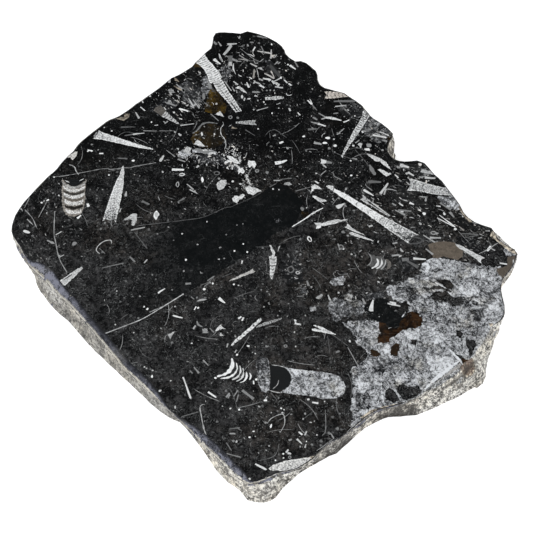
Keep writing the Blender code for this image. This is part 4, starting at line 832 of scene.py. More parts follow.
def oval(x, y, width, height, turn, wobble=0.1):
    # a rounded grain with a slightly uneven edge
    count = max(7, round(math.pi * max(width, height) / 0.75))
    c, s = math.cos(math.radians(turn)), math.sin(math.radians(turn))
    points = []
    for k in range(count):
        angle = 2 * math.pi * k / count
        swell = 1 + wobble * 2 * noise.noise(Vector((x + math.cos(angle), y + math.sin(angle), width)))
        u, v = width / 2 * swell * math.cos(angle), height / 2 * swell * math.sin(angle)
        points.append((x + c * u - s * v, y + s * u + c * v))
    return points


def splinter(x1, y1, x2, y2, w1, w2):
    # a tapering piece, blunt at its wide end
    length = math.hypot(x2 - x1, y2 - y1) or 0.01
    ux, uy = (x2 - x1) / length, (y2 - y1) / length
    points = []
    for side in (1, -1):
        flank = []
        for t in (0.0, 0.3, 0.65, 0.94):
            half = side * (w1 + (w2 - w1) * t) / 2 * (1 + 0.5 * noise.noise(Vector((x1 + t * 3, y1, side))))
            flank.append((x1 + ux * length * t - uy * half, y1 + uy * length * t + ux * half))
        points += flank if side == 1 else flank[::-1]
    bow = 0.35 * w2 * noise.noise(Vector((x2, y2, 1.3)))
    points.insert(4, (x2 + ux * bow, y2 + uy * bow))
    return points


def inside(x, y, outline):
    hit = False
    for k, (x1, y1) in enumerate(outline):
        x2, y2 = outline[k - 1]
        if (y1 > y) != (y2 > y) and x < (x2 - x1) * (y - y1) / (y2 - y1) + x1:
            hit = not hit
    return hit


hashStyle = {
    "sizePower": 2.6,       # the higher, the fewer large pieces
    "palePower": 1.8,       # and the fewer pale ones
    "warmest": 0.35,
    "bend": 0.35,           # share of its length that a sliver bows
    "splinterShare": 0.45,  # of the thin pieces; the rest are bent slivers
    "chipShare": 0.2,       # of the thick pieces; the rest are rounded grains
    "chipFrom": 1.2,        # mm, the smallest three-sided chip
}


def taken(x, y):
    # where the clean mud or the calcite mass leaves no room for hash
    return inside(x, y, cleanMud) or inside(x, y, calciteMass)


cuts = []  # every piece that the polished face cuts, the last of them on top


def addCut(outline, kind="shell", pale=0.5, warm=0.0, chamber=0.0, axis=None, coarse=0.3):
    area = sum(a[0] * b[1] - b[0] * a[1] for a, b in zip(outline, outline[1:] + outline[:1]))
    xs, ys = [p[0] for p in outline], [p[1] for p in outline]
    cuts.append(dict(outline=outline if area > 0 else outline[::-1], kind=kind, pale=pale, warm=warm,
                     chamber=chamber, axis=axis, coarse=coarse, box=(min(xs), max(xs), min(ys), max(ys)),
                     tone=0.5 + 0.5 * noise.noise(Vector((*outline[0], 0.4)))))


def scatterHash(zone, dice):
    style = hashStyle
    (x0, y0), (halfX, halfY), count, (shortest, longest), (darkest, palest), lean, spread, thinShare = zone
    for _ in range(count):
        radius, angle = math.sqrt(dice.random()), dice.uniform(0, 2 * math.pi)
        x, y = x0 + halfX * radius * math.cos(angle), y0 + halfY * radius * math.sin(angle)
        size = shortest + (longest - shortest) * dice.random() ** style["sizePower"]
        pale = darkest + (palest - darkest) * dice.random() ** style["palePower"]
        slope = math.radians(lean + dice.gauss(0, spread / 2))
        thin = dice.random() < thinShare
        bend, shape = dice.uniform(-style["bend"], style["bend"]), dice.random()
        warm = style["warmest"] * dice.random() ** 3
        if taken(x, y):
            continue
        dx, dy = size / 2 * math.cos(slope), size / 2 * math.sin(slope)
        if thin and shape < style["splinterShare"]:
            narrow, wide = min(0.9, 0.13 * size + 0.12), min(1.7, 0.26 * size + 0.2)
            outline = splinter(x - dx, y - dy, x + dx, y + dy, narrow, wide)
        elif thin:
            middle = (x - dy * bend, y + dx * bend)
            outline = ribbon(curveThrough([(x - dx, y - dy), middle, (x + dx, y + dy)], size / 4),
                             min(0.95, 0.09 * size + 0.34), True)
        elif shape < style["chipShare"] and size > style["chipFrom"]:
            outline = [(x - dx, y - dy), (x + dx, y + dy), (x - dy * 0.9, y + dx * 0.9)]
        else:
            outline = oval(x, y, size * 0.75, size * (0.25 + 0.4 * shape), math.degrees(slope), 0.3)
        addCut(outline, pale=pale, warm=warm)


def longShellAxis(shell):
    # where the shell starts and ends, and its half width along the way
    start = (Vector(shell["left"][0]) + Vector(shell["right"][0])) / 2
    end = (Vector(shell["left"][-1]) + Vector(shell["right"][-1])) / 2
    run = (end - start).normalized()
    side = Vector((-run.y, run.x))
    flanks = []
    for name in ("left", "right"):
        flanks.append([((Vector(p) - start).dot(run), (Vector(p) - start).dot(side)) for p in shell[name]])
    return start, run, side, flanks


def flankAt(flank, along):
    for (a, u), (b, v) in zip(flank, flank[1:]):
        if along <= b:
            return u + (v - u) * (along - a) / (b - a or 1.0)
    return flank[-1][1]


def scatterFibres(dice):
    # hair-thin slivers of shell seen edge on
    for _ in range(fibres["count"]):
        (lowX, highX), (lowY, highY) = fibres["acrossSlab"], fibres["alongSlab"]
        spot = Vector((dice.uniform(lowX, highX), dice.uniform(lowY, highY)))
        length, heading = dice.uniform(*fibres["length"]), dice.uniform(0, math.pi)
        turn, pale, width = dice.gauss(0, 0.3), dice.uniform(*fibres["pale"]), dice.uniform(*fibres["width"])
        points = [spot]
        for step in range(3):
            way = heading + turn * step
            points.append(points[-1] + Vector((math.cos(way), math.sin(way))) * length / 3)
        if not any(taken(point.x, point.y) for point in points):
            addCut(ribbon(curveThrough(points, 2.2), width, True), pale=pale)


def cutShells():
    style = cutStyle
    addCut(crumbled(cleanMud, *style["mudEdge"]), "clean")
    addCut(crumbled(calciteMass, *style["massEdge"]), "cloudy")
    for kind, outline in massParts:
        addCut(crumbled(outline, *style["partEdge"]), kind, coarse=1.0 if kind == "island" else 0.3)
    for width, pale, points in massThreads:
        addCut(ribbon(curveThrough(points, 1.2), width, True), "white", pale)
    for outline, pale, warm in hazes:
        addCut(crumbled(outline, *style["hazeEdge"]), "haze", pale, warm, coarse=1.0)
    for outline, strength, red in stains:
        addCut(crumbled(outline, *style["stainEdge"]), "stain", strength, red)
    dice = random.Random(style["seed"])
    for zone in hashZones:
        scatterHash(zone, dice)
    scatterFibres(dice)
    for width, pale, points in veins:
        addCut(ribbon(curveThrough(points, 1.1), style["veinWidth"] * width, False), pale=pale)
    for outline, pale in shellFilling:
        addCut(crumbled(outline, *style["fillingEdge"]), "spar", pale)
    for outline, pale in sparLumps:
        addCut(crumbled(outline, *style["sparEdge"]), "spar", pale, coarse=1.0)
    for outline, pale, warm in lumps:
        kind = "silt" if warm > style["siltWarmth"] else "shell"
        addCut(crumbled(outline, *style["lumpEdge"]), kind, pale, warm, coarse=1.0)
    for x, y, width, height, turn, pale in grains:
        size = style["grainSize"]
        addCut(oval(x, y, width * size, height * size, turn, 0.24), pale=min(1.0, pale * 1.12), coarse=0.15)
    for *ends, pale in splinters:
        addCut(splinter(*ends), pale=pale)
    for points, width, pale in bows:
        share = style["bowWidth"] if width < style["wideBow"] else style["wideBowWidth"]
        addCut(ribbon(curveThrough(points, 0.9), width * share, True), pale=pale)
    for x, y, width, height, turn, wall, pale in rings:
        addCut(oval(x, y, width, height, turn), pale=pale)
        addCut(oval(x, y, width - 2 * wall, height - 2 * wall, turn), "mud")
    for shell in longShells.values():
        outline = shell["left"] + shell["mouth"] + shell["right"][::-1] + shell.get("narrowEnd", [])[::-1]
        addCut(crumbled(outline, *style["shellEdge"]), pale=shell["pale"], warm=shell.get("warm", 0),
               chamber=shell.get("chamber", 0), axis=longShellAxis(shell), coarse=shell.get("coarse", 0.9))
    for band in chamberedTube():
        outline = crumbled(band["outline"], *style["bandEdge"])
        addCut(outline, pale=band["pale"], warm=band["warm"], coarse=1.35)
    for slit in darkSlits:
        addCut(splinter(*slit), "mud")
    print("pieces cut by the polished face:", len(cuts))


cutShells()


slabShape = {
    "thickness": 22.0,      # mm
    "wallCuts": 3,          # how finely the broken wall is divided
    "wallRelief": 2.3,      # mm, the depth of the broken wall's hollows
    "groundRelief": 0.05,   # mm, the unevenness of the ground bevel
    "crackDepth": 0.9,      # mm, the parting under the rim
    "arrisWear": 0.5,       # mm, how far the sharp edge is nibbled
    "bedding": 1.9,         # how close the stone's layers are; one is 6.28 mm thick divided by this
    "calmRim": 2.5,         # mm below the polish, and above the underside, where the hollows fade out
    "calmFoot": 1.2,
    "groundFrom": 0.93,     # the upward part of a wall face's normal from which it is ground, not broken
    "rimCalcite": (96, -80),  # mm; to the right and near of this, calcite runs over the rim
}
# which kinds of cut each finish covers
kindsOf = {
    "polishedLimestone": ("mud", "black", "clean"),
    "calciteShell": ("shell",),
    "cloudyCalcite": ("spar", "haze", "cloudy", "clear", "grey", "island", "white"),
    "ironStain": ("stain", "rust", "red"),
    "limySilt": ("silt",),
}
finishOf = {kind: name for name, kinds in kindsOf.items() for kind in kinds}
# how pale or how rusty a kind is, where it is the same in every cut
paleOf = {"clean": 1.0, "clear": 0.72, "grey": 0.26, "island": 0.46, "cloudy": 0.5, "mud": 0.0, "black": 0.0,
          "rust": 0.3, "red": 0.46}
warmOf = {"red": 1.0, "rust": 0.8}


def wallStart():
    # the slab's own wall without its two flat faces
    bm = bmesh.new()
    bm.from_mesh(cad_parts["fossil_slab"].data)
    for name in ("pale", "warm", "chamber", "tone", "coarse"):
        bm.faces.layers.float.new(name)
    for name in ("along", "across"):
        bm.loops.layers.float.new(name)
    # painted rim light on the corners: a painted highlight at the rim, painted shadow in the parting
    bm.verts.layers.float.new("paintedRimLight")
    bmesh.ops.remove_doubles(bm, verts=bm.verts, dist=1e-6)
    bm.normal_update()
    top, near = max(v.co.z for v in bm.verts), 1e-5
    level = [f for f in bm.faces if abs(f.normal.z) > 0.9999]
    flat = [f for f in level if not near <= f.calc_center_median().z <= top - near]
    bmesh.ops.delete(bm, geom=flat, context="FACES")
    bmesh.ops.subdivide_edges(bm, edges=bm.edges[:], cuts=slabShape["wallCuts"], use_grid_fill=True)
    bm.normal_update()
    return bm, top


def smoothStep(value, low, high):
    t = min(1.0, max(0.0, (value - low) / (high - low)))
    return t * t * (3 - 2 * t)


def lipRings(bm):
    # how many steps each corner of the wall lies below the ground bevel, up to four
    rings, upward = {}, 0.9
    for v in bm.verts:
        ground = [f.normal.z > upward for f in v.link_faces]
        if any(ground) and not all(ground):
            rings[v] = 0
    front = list(rings)
    for ring in range(1, 5):
        front = [w for v in front for e in v.link_edges for w in (e.other_vert(v),)
                 if w not in rings and all(f.normal.z <= upward for f in w.link_faces)]
        for v in front:
            rings[v] = ring
        front = list(dict.fromkeys(front))
    return rings


def breakWall(bm, top):
    # hollows, chips and the parting under the rim, always inwards
    moves = {}
    rings = lipRings(bm)
    paintedRimLight = bm.verts.layers.float["paintedRimLight"]
    for v in bm.verts:
        p = v.co / mm
        x, y, z = p
        depth = top / mm - z
        outward = Vector((v.normal.x, v.normal.y, 0))
        outward = outward.normalized() if outward.length > 0.05 else Vector((0, 0, 0))
        if depth < 0.001:  # the arris of the polished face
            nibble = max(0.0, noise.noise(p * 0.35)) + 0.5 * max(0.0, noise.noise(p * 1.1))
            moves[v] = -outward * slabShape["arrisWear"] * nibble
            continue
        broken = 1 - smoothStep(v.normal.z, 0.86, 0.97)  # 0 on the ground bevel, 1 on the wall
        ends = smoothStep(depth, 0.0, slabShape["calmRim"]) * smoothStep(z, 0.0, slabShape["calmFoot"])
        cells = noise.voronoi(Vector((x * 0.16, y * 0.16, z * 0.3)))[0]
        facet = min(1.0, cells[1] - cells[0])
        rough = 0.5 + 0.5 * noise.fractal(Vector((x * 0.22, y * 0.22, z * 0.4)), 0.9, 2.1, 5)
        wave = z * slabShape["bedding"] + 3 * noise.noise(Vector((x * 0.03, y * 0.03, z * 0.1)))
        layers = 0.5 + 0.5 * math.sin(wave)
        hollow = 0.55 * min(1.0, max(0.0, rough)) + 0.3 * (1 - facet) + 0.15 * layers
        ring = rings.get(v, 9)
        # the parting runs along the near left edge and part of the near right one
        nearSide = smoothStep(-x - y, 40, 90) + smoothStep(-y, 96, 118) * smoothStep(x, 20, 60)
        parting = min(1.0, nearSide) * smoothStep(noise.noise(p * 0.03 + Vector((2, 9, 4))), -0.5, -0.1)
        # the rim gets a painted highlight, above 0, and the parting under it painted shadow, below 0
        v[paintedRimLight] = {0: 1.0, 1: -0.6 * parting, 2: -1.0 * parting}.get(ring, 0.0)
        push = broken * ends * slabShape["wallRelief"] * hollow * min(1.0, 0.35 + ring / 5)
        if ring in (1, 2):
            push += slabShape["crackDepth"] * parting * (0.6 if ring == 1 else 1.0)
        push += (1 - broken) * slabShape["groundRelief"] * max(0.0, noise.noise(p * 0.4))
        moves[v] = -v.normal * push
    for v, move in moves.items():
        v.co += move * mm
        v.co.z = min(top, max(0.0, v.co.z))


def openLoop(bm, high, middle):
    # the wall's open edge at the top or the bottom, in order, counter-clockwise
    edges = [e for e in bm.edges if e.is_boundary and (e.verts[0].co.z > middle) == high]
    nextTo = {}
    for e in edges:
        a, b = e.verts
        nextTo.setdefault(a, []).append(b)
        nextTo.setdefault(b, []).append(a)
    start = edges[0].verts[0]
    loop, last = [start], None
    while True:
        here = loop[-1]
        step = next(v for v in nextTo[here] if v is not last)
        if step is start:
            break
        last = here
        loop.append(step)
    area = sum(a.co.x * b.co.y - b.co.x * a.co.y for a, b in zip(loop, loop[1:] + loop[:1]))
    return loop if area > 0 else loop[::-1]


def topPiece(triangle, spots, sources, pieces):
    # the piece that shows here: the last one that really holds the triangle's middle
    x, y = sum(spots[k].x for k in triangle) / 3, sum(spots[k].y for k in triangle) / 3
    for source in sorted(sources, reverse=True):
        if source == 0:
            break
        left, right, low, high = pieces[source - 1]["box"]
        if left < x < right and low < y < high and inside(x, y, pieces[source - 1]["outline"]):
            return source
    return 0


def closeFace(bm, loop, pieces, upward):
    # fills an open edge with a flat face, divided along the outlines of the pieces in it
    height = loop[0].co.z
    points = [Vector((v.co.x / mm, v.co.y / mm)) for v in loop]
    polygons = [list(range(len(points)))]
    for piece in pieces:
        first = len(points)
        points += [Vector(p) for p in piece["outline"]]
        polygons.append(list(range(first, len(points))))
    withinOutlines, tolerance = 1, 1e-3
    filled = geometry.delaunay_2d_cdt(points, [], polygons, withinOutlines, tolerance, True)
    spots, _, triangles, spotSource, _, triangleSource = filled
    kept = [(t, topPiece(t, spots, s, pieces)) for t, s in zip(triangles, triangleSource) if 0 in s]
    # the edges that end up on the rim, each leading to the next
    count, after = {}, {}
    for t, _ in kept:
        for a, b in zip(t, t[1:] + t[:1]):
            count[(a, b)] = 1
    for a, b in count:
        if (b, a) not in count:
            after[a] = b
    vertexOf = {}
    for spot, sources in enumerate(spotSource):
        for source in sources:
            if source < len(loop):
                vertexOf[spot] = loop[source]
    spot = next(s for s in after if s in vertexOf)
    first = spot
    while True:
        step = after[spot]
        if step not in vertexOf:  # a cut that runs off the slab divides the rim here
            here = vertexOf[spot]
            ahead = step
            while ahead not in vertexOf:
                ahead = after[ahead]
            edge = bm.edges.get((here, vertexOf[ahead]))
            _, fresh = bmesh.utils.edge_split(edge, here, 0.5)
            fresh.co = Vector((spots[step].x * mm, spots[step].y * mm, height))
            vertexOf[step] = fresh
        spot = step
        if spot == first:
            break
    made = []
    for t, source in kept:
        corners = []
        for spot in t:
            if spot not in vertexOf:
                vertexOf[spot] = bm.verts.new((spots[spot].x * mm, spots[spot].y * mm, height))
            corners.append(vertexOf[spot])
        if len(set(corners)) < 3:
            continue
        made.append((bm.faces.new(corners if upward else corners[::-1]), source))
    return made


brokenWall = {
    # stretches of the near wall in mm from left to right: where each sets in, is full, fades and ends
    # the dark stretches are painted shade of the undercut near wall
    "dark": ((26, 38, 54, 66), (72, 86, 102, 116)),
    "spar": (56, 66, 74, 84),
    "rightEnd": (108, 124),
    "far": (-20, 20),              # mm towards the back, where the near wall ends
    "nearCorner": (150, 185),
    "redMiddle": (143, -111.5),    # iron-stained mud
    "redRadius": (3, 8),
}


def stretch(x, starts, full, fades, ends):
    return smoothStep(x, starts, full) * (1 - smoothStep(x, fades, ends))


def wallTone(p):
    # how pale, how rusty and how freshly chipped the broken wall is here, with painted shade in its dark
    # stretches
    patch, drift = noise.noise(p * 0.07), noise.noise(p * 0.045 + Vector((7, 3, 1)))
    x, y = p.x + 9 * patch, p.y + 9 * drift
    near = 1 - smoothStep(y, *brokenWall["far"])
    dark = near * max(stretch(x, *span) for span in brokenWall["dark"])
    right = smoothStep(x, *brokenWall["rightEnd"]) * near
    spar = stretch(x, *brokenWall["spar"]) * near
    corner = smoothStep(-p.y, *brokenWall["nearCorner"])
    pale = 0.66 + 0.3 * patch - 0.52 * dark + 0.28 * (right + spar) + 0.18 * corner - 0.12 * (1 - near)
    warm = 0.25 + 0.5 * drift + 0.2 * dark - 0.05 * right + 0.2 * (1 - near)
    marked = 0.3 + 0.7 * max(smoothStep(x, -10, 20), 0.6 * corner) - 0.3 * smoothStep(x, 140, 150)
    chip = noise.noise(Vector((p.x, p.y, p.z * 0.7)) * 0.16)
    # fresh chips are paler; the dark stretches get more painted shade towards the foot
    pale += marked * (0.5 * chip + 0.1) - 0.34 * dark * (1 - smoothStep(p.z + 7 * chip, 3, 13))
    fromRed = (Vector((p.x, p.y)) - Vector(brokenWall["redMiddle"])).length
    reddish = 1 - smoothStep(fromRed, *brokenWall["redRadius"])
    return pale - 0.45 * reddish, min(1.0, max(0.0, warm)) + 4 * reddish, marked


def dressCut(bm, f, cut):
    # the material of a cut piece, and what its finish needs to know of it
    layer, kind = bm.faces.layers.float, cut["kind"]
    f.material_index = slotOf[finishOf[kind]]
    f[layer["pale"]], f[layer["warm"]] = paleOf.get(kind, cut["pale"]), warmOf.get(kind, cut["warm"])
    for label in ("chamber", "tone", "coarse"):
        f[layer[label]] = cut[label]
    if not cut["axis"]:
        return
    start, run, side, flanks = cut["axis"]
    along, across = (bm.loops.layers.float[label] for label in ("along", "across"))
    for loop in f.loops:
        spot = Vector((loop.vert.co.x / mm, loop.vert.co.y / mm)) - start
        reach = spot.dot(run)
        left, right = (flankAt(flank, reach) for flank in flanks)
        loop[along] = reach
        loop[across] = (2 * spot.dot(side) - left - right) / (abs(left - right) or 1.0)


def dressWall(bm, f):
    # ground or broken, but calcite where the pale mass runs over the rim
    p, layer = f.calc_center_median() / mm, bm.faces.layers.float
    pale, warm, coarse = wallTone(p)
    name = "groundBevel" if f.normal.z > slabShape["groundFrom"] else "brokenEdge"
    right, near = slabShape["rimCalcite"]
    if name == "groundBevel" and p.x > right and p.y < near:
        if warm > 1.1:
            name = "brokenEdge"
        else:
            name, pale, warm = "cloudyCalcite", 0.7, 0.15
    f.material_index = slotOf[name]
    f[layer["pale"]], f[layer["warm"]], f[layer["coarse"]] = pale, warm, coarse


def buildSlab():
    bm, top = wallStart()
    breakWall(bm, top)
    topLoop, bottomLoop = openLoop(bm, True, top / 2), openLoop(bm, False, top / 2)
    cutOf = dict(closeFace(bm, topLoop, cuts, True))
    underside = dict(closeFace(bm, bottomLoop, [], False))
    bmesh.ops.triangulate(bm, faces=[f for f in bm.faces if len(f.verts) > 3])
    bm.normal_update()
    for f in bm.faces:
        f.smooth = f not in cutOf and f not in underside
        if f.smooth:
            dressWall(bm, f)
        elif f in underside:
            f.material_index = slotOf["sawnUnderside"]
        elif cutOf[f]:
            dressCut(bm, f, cuts[cutOf[f] - 1])
    mesh = bpy.data.meshes.new("fossilSlab")
    bm.to_mesh(mesh)
    bm.free()
    slab = bpy.data.objects.new("fossilSlab", mesh)
    bpy.context.scene.collection.objects.link(slab)
    print("slab faces:", len(mesh.polygons))
    return slab


class Wire:
    # a value on its way through a node tree; arithmetic on it places Math nodes there
    def __init__(self, socket):
        self.socket, self.tree = socket, socket.id_data

    def __add__(self, other):
        return maths("ADD", self, other)

    def __sub__(self, other):
        return maths("SUBTRACT", self, other)

    def __rsub__(self, other):
        return maths("SUBTRACT", other, self)

    def __mul__(self, other):
        return maths("MULTIPLY", self, other)

    def __truediv__(self, other):
        return maths("DIVIDE", self, other)

    def __rtruediv__(self, other):
        return maths("DIVIDE", other, self)

    def __pow__(self, power):
        return maths("POWER", self, power)

    def __abs__(self):
        return maths("ABSOLUTE", self)

    def clamped(self):
        self.socket.node.use_clamp = True
        return self


def put(tree, kind, inputs=None, **settings):
    # one node, its settings and its inputs; gives back its outputs by name and by number
    made = tree.nodes.new("ShaderNode" + kind)
    for name, value in settings.items():
        setattr(made, name, value)
    for name, value in (inputs or {}).items():
        if isinstance(value, Wire):
            tree.links.new(value.socket, made.inputs[name])
        else:
            made.inputs[name].default_value = value
    wires = [Wire(socket) for socket in made.outputs]
    return {**{wire.socket.name: wire for wire in wires}, **dict(enumerate(wires))}


def treeOf(values):
    return next(value.tree for value in values if isinstance(value, Wire))


def maths(operation, *values, kind="Math"):
    return put(treeOf(values), kind, dict(enumerate(values)), operation=operation)[0]


def vectors(operation, *values):
    return maths(operation, *values, kind="VectorMath")


def larger(first, second):
    return maths("MAXIMUM", first, second)


def fade(value, low, high, start=0.0, end=1.0):
    return put(value.tree, "MapRange", {"Value": value, "From Min": low, "From Max": high, "To Min": start,
               "To Max": end}, interpolation_type="SMOOTHSTEP")["Result"]


def blend(share, first, second, mode="MIX"):
    return put(treeOf((share, first, second)), "Mix", {0: share, 6: first, 7: second}, data_type="RGBA",
               blend_type=mode)[2]


def axesOf(place):
    axes = put(place.tree, "SeparateXYZ", {0: place})
    return axes[0], axes[1], axes[2]


def noiseAt(place, scale, detail, roughness=0.5, distortion=0.0):
    return put(place.tree, "TexNoise", {"Vector": place, "Scale": scale, "Detail": detail,
               "Roughness": roughness, "Distortion": distortion})


def cellsAt(place, scale, **settings):
    return put(place.tree, "TexVoronoi", {"Vector": place, "Scale": scale}, **settings)


def swirled(place, scale, detail, reach, centre=None):
    # the place, pushed about by noise; a centre takes the mean of the noise out
    push = noiseAt(place, scale, detail)["Color"]
    if centre:
        push = vectors("SUBTRACT", push, (centre, centre, centre))
    return vectors("MULTIPLY_ADD", push, (reach, reach, reach), place)


def edgeLines(place, size, width):
    # lines between uneven cells
    gap = cellsAt(place, 1 / size, feature="DISTANCE_TO_EDGE")["Distance"]
    return put(place.tree, "MapRange", {"Value": gap, "From Min": width, "From Max": 0.0})["Result"]


def turnedCells(place, size, lean, spread):
    # cells with their own turned coordinates, for blades and splinters that lie at random
    cells = cellsAt(place, 1 / size)
    parts = put(place.tree, "SeparateColor", {0: cells["Color"]})
    local = vectors("SUBTRACT", place, cells["Position"])
    turned = put(place.tree, "VectorRotate", {"Vector": local, "Angle": (parts[0] - 0.5) * spread + lean},
                 rotation_type="Z_AXIS")
    return turned[0], parts


def effect(name, **starting):
    # a node group that takes a place and these numbers, with its inputs
    group = bpy.data.node_groups.new(name, "ShaderNodeTree")
    group.interface.new_socket("Place", in_out="INPUT", socket_type="NodeSocketVector")
    for label, value in starting.items():
        group.interface.new_socket(label, in_out="INPUT", socket_type="NodeSocketFloat").default_value = value
    inputs = group.nodes.new("NodeGroupInput").outputs[:len(starting) + 1]
    return group, *(Wire(socket) for socket in inputs)


def give(group, **results):
    # the finished group, with its outputs
    for label in results:
        kind = "Vector" if label == "Normal" else "Float"
        group.interface.new_socket(label, in_out="OUTPUT", socket_type="NodeSocket" + kind)
    out = group.nodes.new("NodeGroupOutput")
    for label, wire in results.items():
        group.links.new(wire.socket, out.inputs[label])
    return group


def stoneMottle():
    # clouds of one size, from 0 to 1
    group, place, size, low, high, grit = effect("stoneMottle", Size=5.0, Low=0.35, High=0.65, Grit=0.6)
    return give(group, Mask=fade(noiseAt(place, 1 / size, 5.0, grit, 0.3)["Fac"], low, high))


def shellDust():
    # tiny broken specks, each of its own size and shade
    group, place, size, amount = effect("shellDust", Size=1.0, Amount=0.3)
    cells = cellsAt(swirled(place, 0.9, 2.0, 1.6, centre=0.5), 1 / size)
    parts = put(group, "SeparateColor", {0: cells["Color"]})
    return give(group, Mask=fade(parts[0] ** 2.5 * amount - cells["Distance"], -0.04, 0.05), Shade=parts[1])


def hairCracks():
    # broken hairlines
    group, place, spacing, width = effect("hairCracks", Spacing=20.0, Width=0.02)
    lines = edgeLines(swirled(place, 0.06, 4.0, 14.0), spacing, width)
    shown = fade(noiseAt(place, 0.07, 2.0)["Fac"], 0.52, 0.62)
    return give(group, Mask=(lines * shown).clamped())


def cellNetwork():
    # thin lines around small uneven cells
    group, place, size, width = effect("cellNetwork", Size=1.5, Width=0.14)
    return give(group, Mask=edgeLines(swirled(place, 0.7, 3.0, 1.6), size, width))


def crystals():
    # sheaves of crystal blades, from dark to light
    group, place, size, blade, stretch = effect("crystals", Size=6.0, Blade=0.8, Stretch=3.0)
    turned, parts = turnedCells(swirled(place, 0.5, 3.0, 3.0), size, 0.7, 3.1)
    squashed = vectors("MULTIPLY", turned, put(group, "CombineXYZ", {0: 1 / stretch, 1: 1.0, 2: 1.0})[0])
    apart = vectors("MULTIPLY", parts[1], (60, 60, 60))  # so that no two sheaves show the same fibres
    fibre = noiseAt(vectors("ADD", squashed, apart), 1 / blade, 4.0, 0.6, 0.2)["Fac"]
    return give(group, Mask=fade(parts[2] * 0.1 + fibre, 0.38, 0.72))


def shellSplinters():
    # short thin streaks of shell, each with its own turn, length and shade
    group, place, size, width, length, lean, spread = effect(
        "shellSplinters", Size=2.0, Width=0.09, Length=0.5, Lean=0.7, Spread=2.4)
    turned, parts = turnedCells(place, size, lean, spread)
    along, aside, _ = axesOf(turned)
    bow = along * along * (parts[2] * 0.5 - 0.25)
    taper = (1 - abs(along) / larger(size * length * parts[1], 0.02)).clamped()
    inward = size * width * taper - abs(aside + bow)
    return give(group, Mask=fade(inward, -0.04, 0.08), Shade=parts[2] ** 1.6)


def grainBump():
    # the relief of a worn or broken face, as a normal
    group, place, size, depth = effect("grainBump", Size=0.8, Depth=0.05)
    scale = 1 / size
    height = cellsAt(place, scale * 0.6)["Distance"] * 0.5 + noiseAt(place, scale, 6.0, 0.65)["Fac"]
    return give(group, Normal=put(group, "Bump", {"Height": height, "Distance": depth * mm})[0])


def polishWear():
    # roughness of a polish with smudges and fine rubbing marks
    group, place, polish, wear = effect("polishWear", Polish=0.14, Wear=0.1)
    smudge = noiseAt(place, 0.03, 4.0)["Fac"]
    rubbed = noiseAt(vectors("MULTIPLY", place, (0.12, 2.4, 1.0)), 0.8, 3.0)["Fac"]
    worn = fade(smudge, 0.35, 0.7) + fade(rubbed, 0.5, 0.75) * 0.6
    return give(group, Roughness=worn * wear + polish)


effectMakers = (stoneMottle, shellDust, hairCracks, cellNetwork, crystals, shellSplinters, grainBump,
                polishWear)
effects = {build.__name__: build() for build in effectMakers}
print("shader groups:", len(effects))


def use(name, place, **values):
    # one effect, placed in a material with its own values
    return put(place.tree, "Group", {"Place": place, **values}, node_tree=effects[name])


def mottle(place, size, low, high, grit=0.6):
    return use("stoneMottle", place, Size=size, Low=low, High=high, Grit=grit)["Mask"]


def newMaterial(name):
    # the material, and the place on the slab in millimetres
    material = bpy.data.materials.new(name)
    material.use_nodes = True
    spot = put(material.node_tree, "TexCoord")["Object"]
    return material, vectors("MULTIPLY", spot, (1 / mm, 1 / mm, 1 / mm))


def carried(place, *labels):
    # the values that the mesh carries under these names
    return [put(place.tree, "Attribute", attribute_name=label)["Fac"] for label in labels]


def finish(material, place, colour, look, ridges=None):
    # the colour, the worn polish and the grain of a face; ridges are a second relief
    tree = material.node_tree
    shader = tree.nodes["Principled BSDF"]
    rough = use("polishWear", place, Polish=look["polish"], Wear=look["wear"])["Roughness"]
    relief = use("grainBump", place, Size=look["grain"], Depth=look["grainDepth"])["Normal"]
    if ridges:
        depth = look["ridgeDepth"] * mm
        relief = put(tree, "Bump", {"Height": ridges, "Distance": depth, "Normal": relief})[0]
    for label, wire in (("Base Color", colour), ("Roughness", rough), ("Normal", relief)):
        tree.links.new(wire.socket, shader.inputs[label])
    shader.inputs["Specular IOR Level"].default_value = look["specular"]
    return material


# In every finish, grain is the size of its relief and grainDepth its depth, both in millimetres. Clouds,
# spots and the like are mottles: their size in millimetres, where they fade in and are full, and their grit.
limestone = {
    "deep": (0.0018, 0.002, 0.0022, 1),
    "grey": (0.046, 0.045, 0.046, 1),
    "clean": (0.0038, 0.0048, 0.0052, 1),
    "peaty": (1.0, 0.9, 0.8, 1),      # tint of the browner patches
    "dust": (0.5, 0.51, 0.51, 1),
    # size, width, length and brightness of the streaks of shell, then size and brightness of the specks
    "streaks": ((4.6, 0.05, 0.7, 0.4), (2.6, 0.08, 0.6, 0.42), (1.5, 0.13, 0.5, 0.24)),
    "specks": ((1.3, 0.24), (2.8, 0.46)),
    "middling": (8.0, 0.34, 0.66, 0.7),
    "fine": (3.0, 0.38, 0.68, 0.72),
    "wide": (34.0, 0.4, 0.6),
    "peat": (44.0, 0.48, 0.62),
    "crowd": (15.0, 0.38, 0.62),
    "specular": 0.35, "polish": 0.12, "wear": 0.08, "grain": 1.4, "grainDepth": 0.004,
}


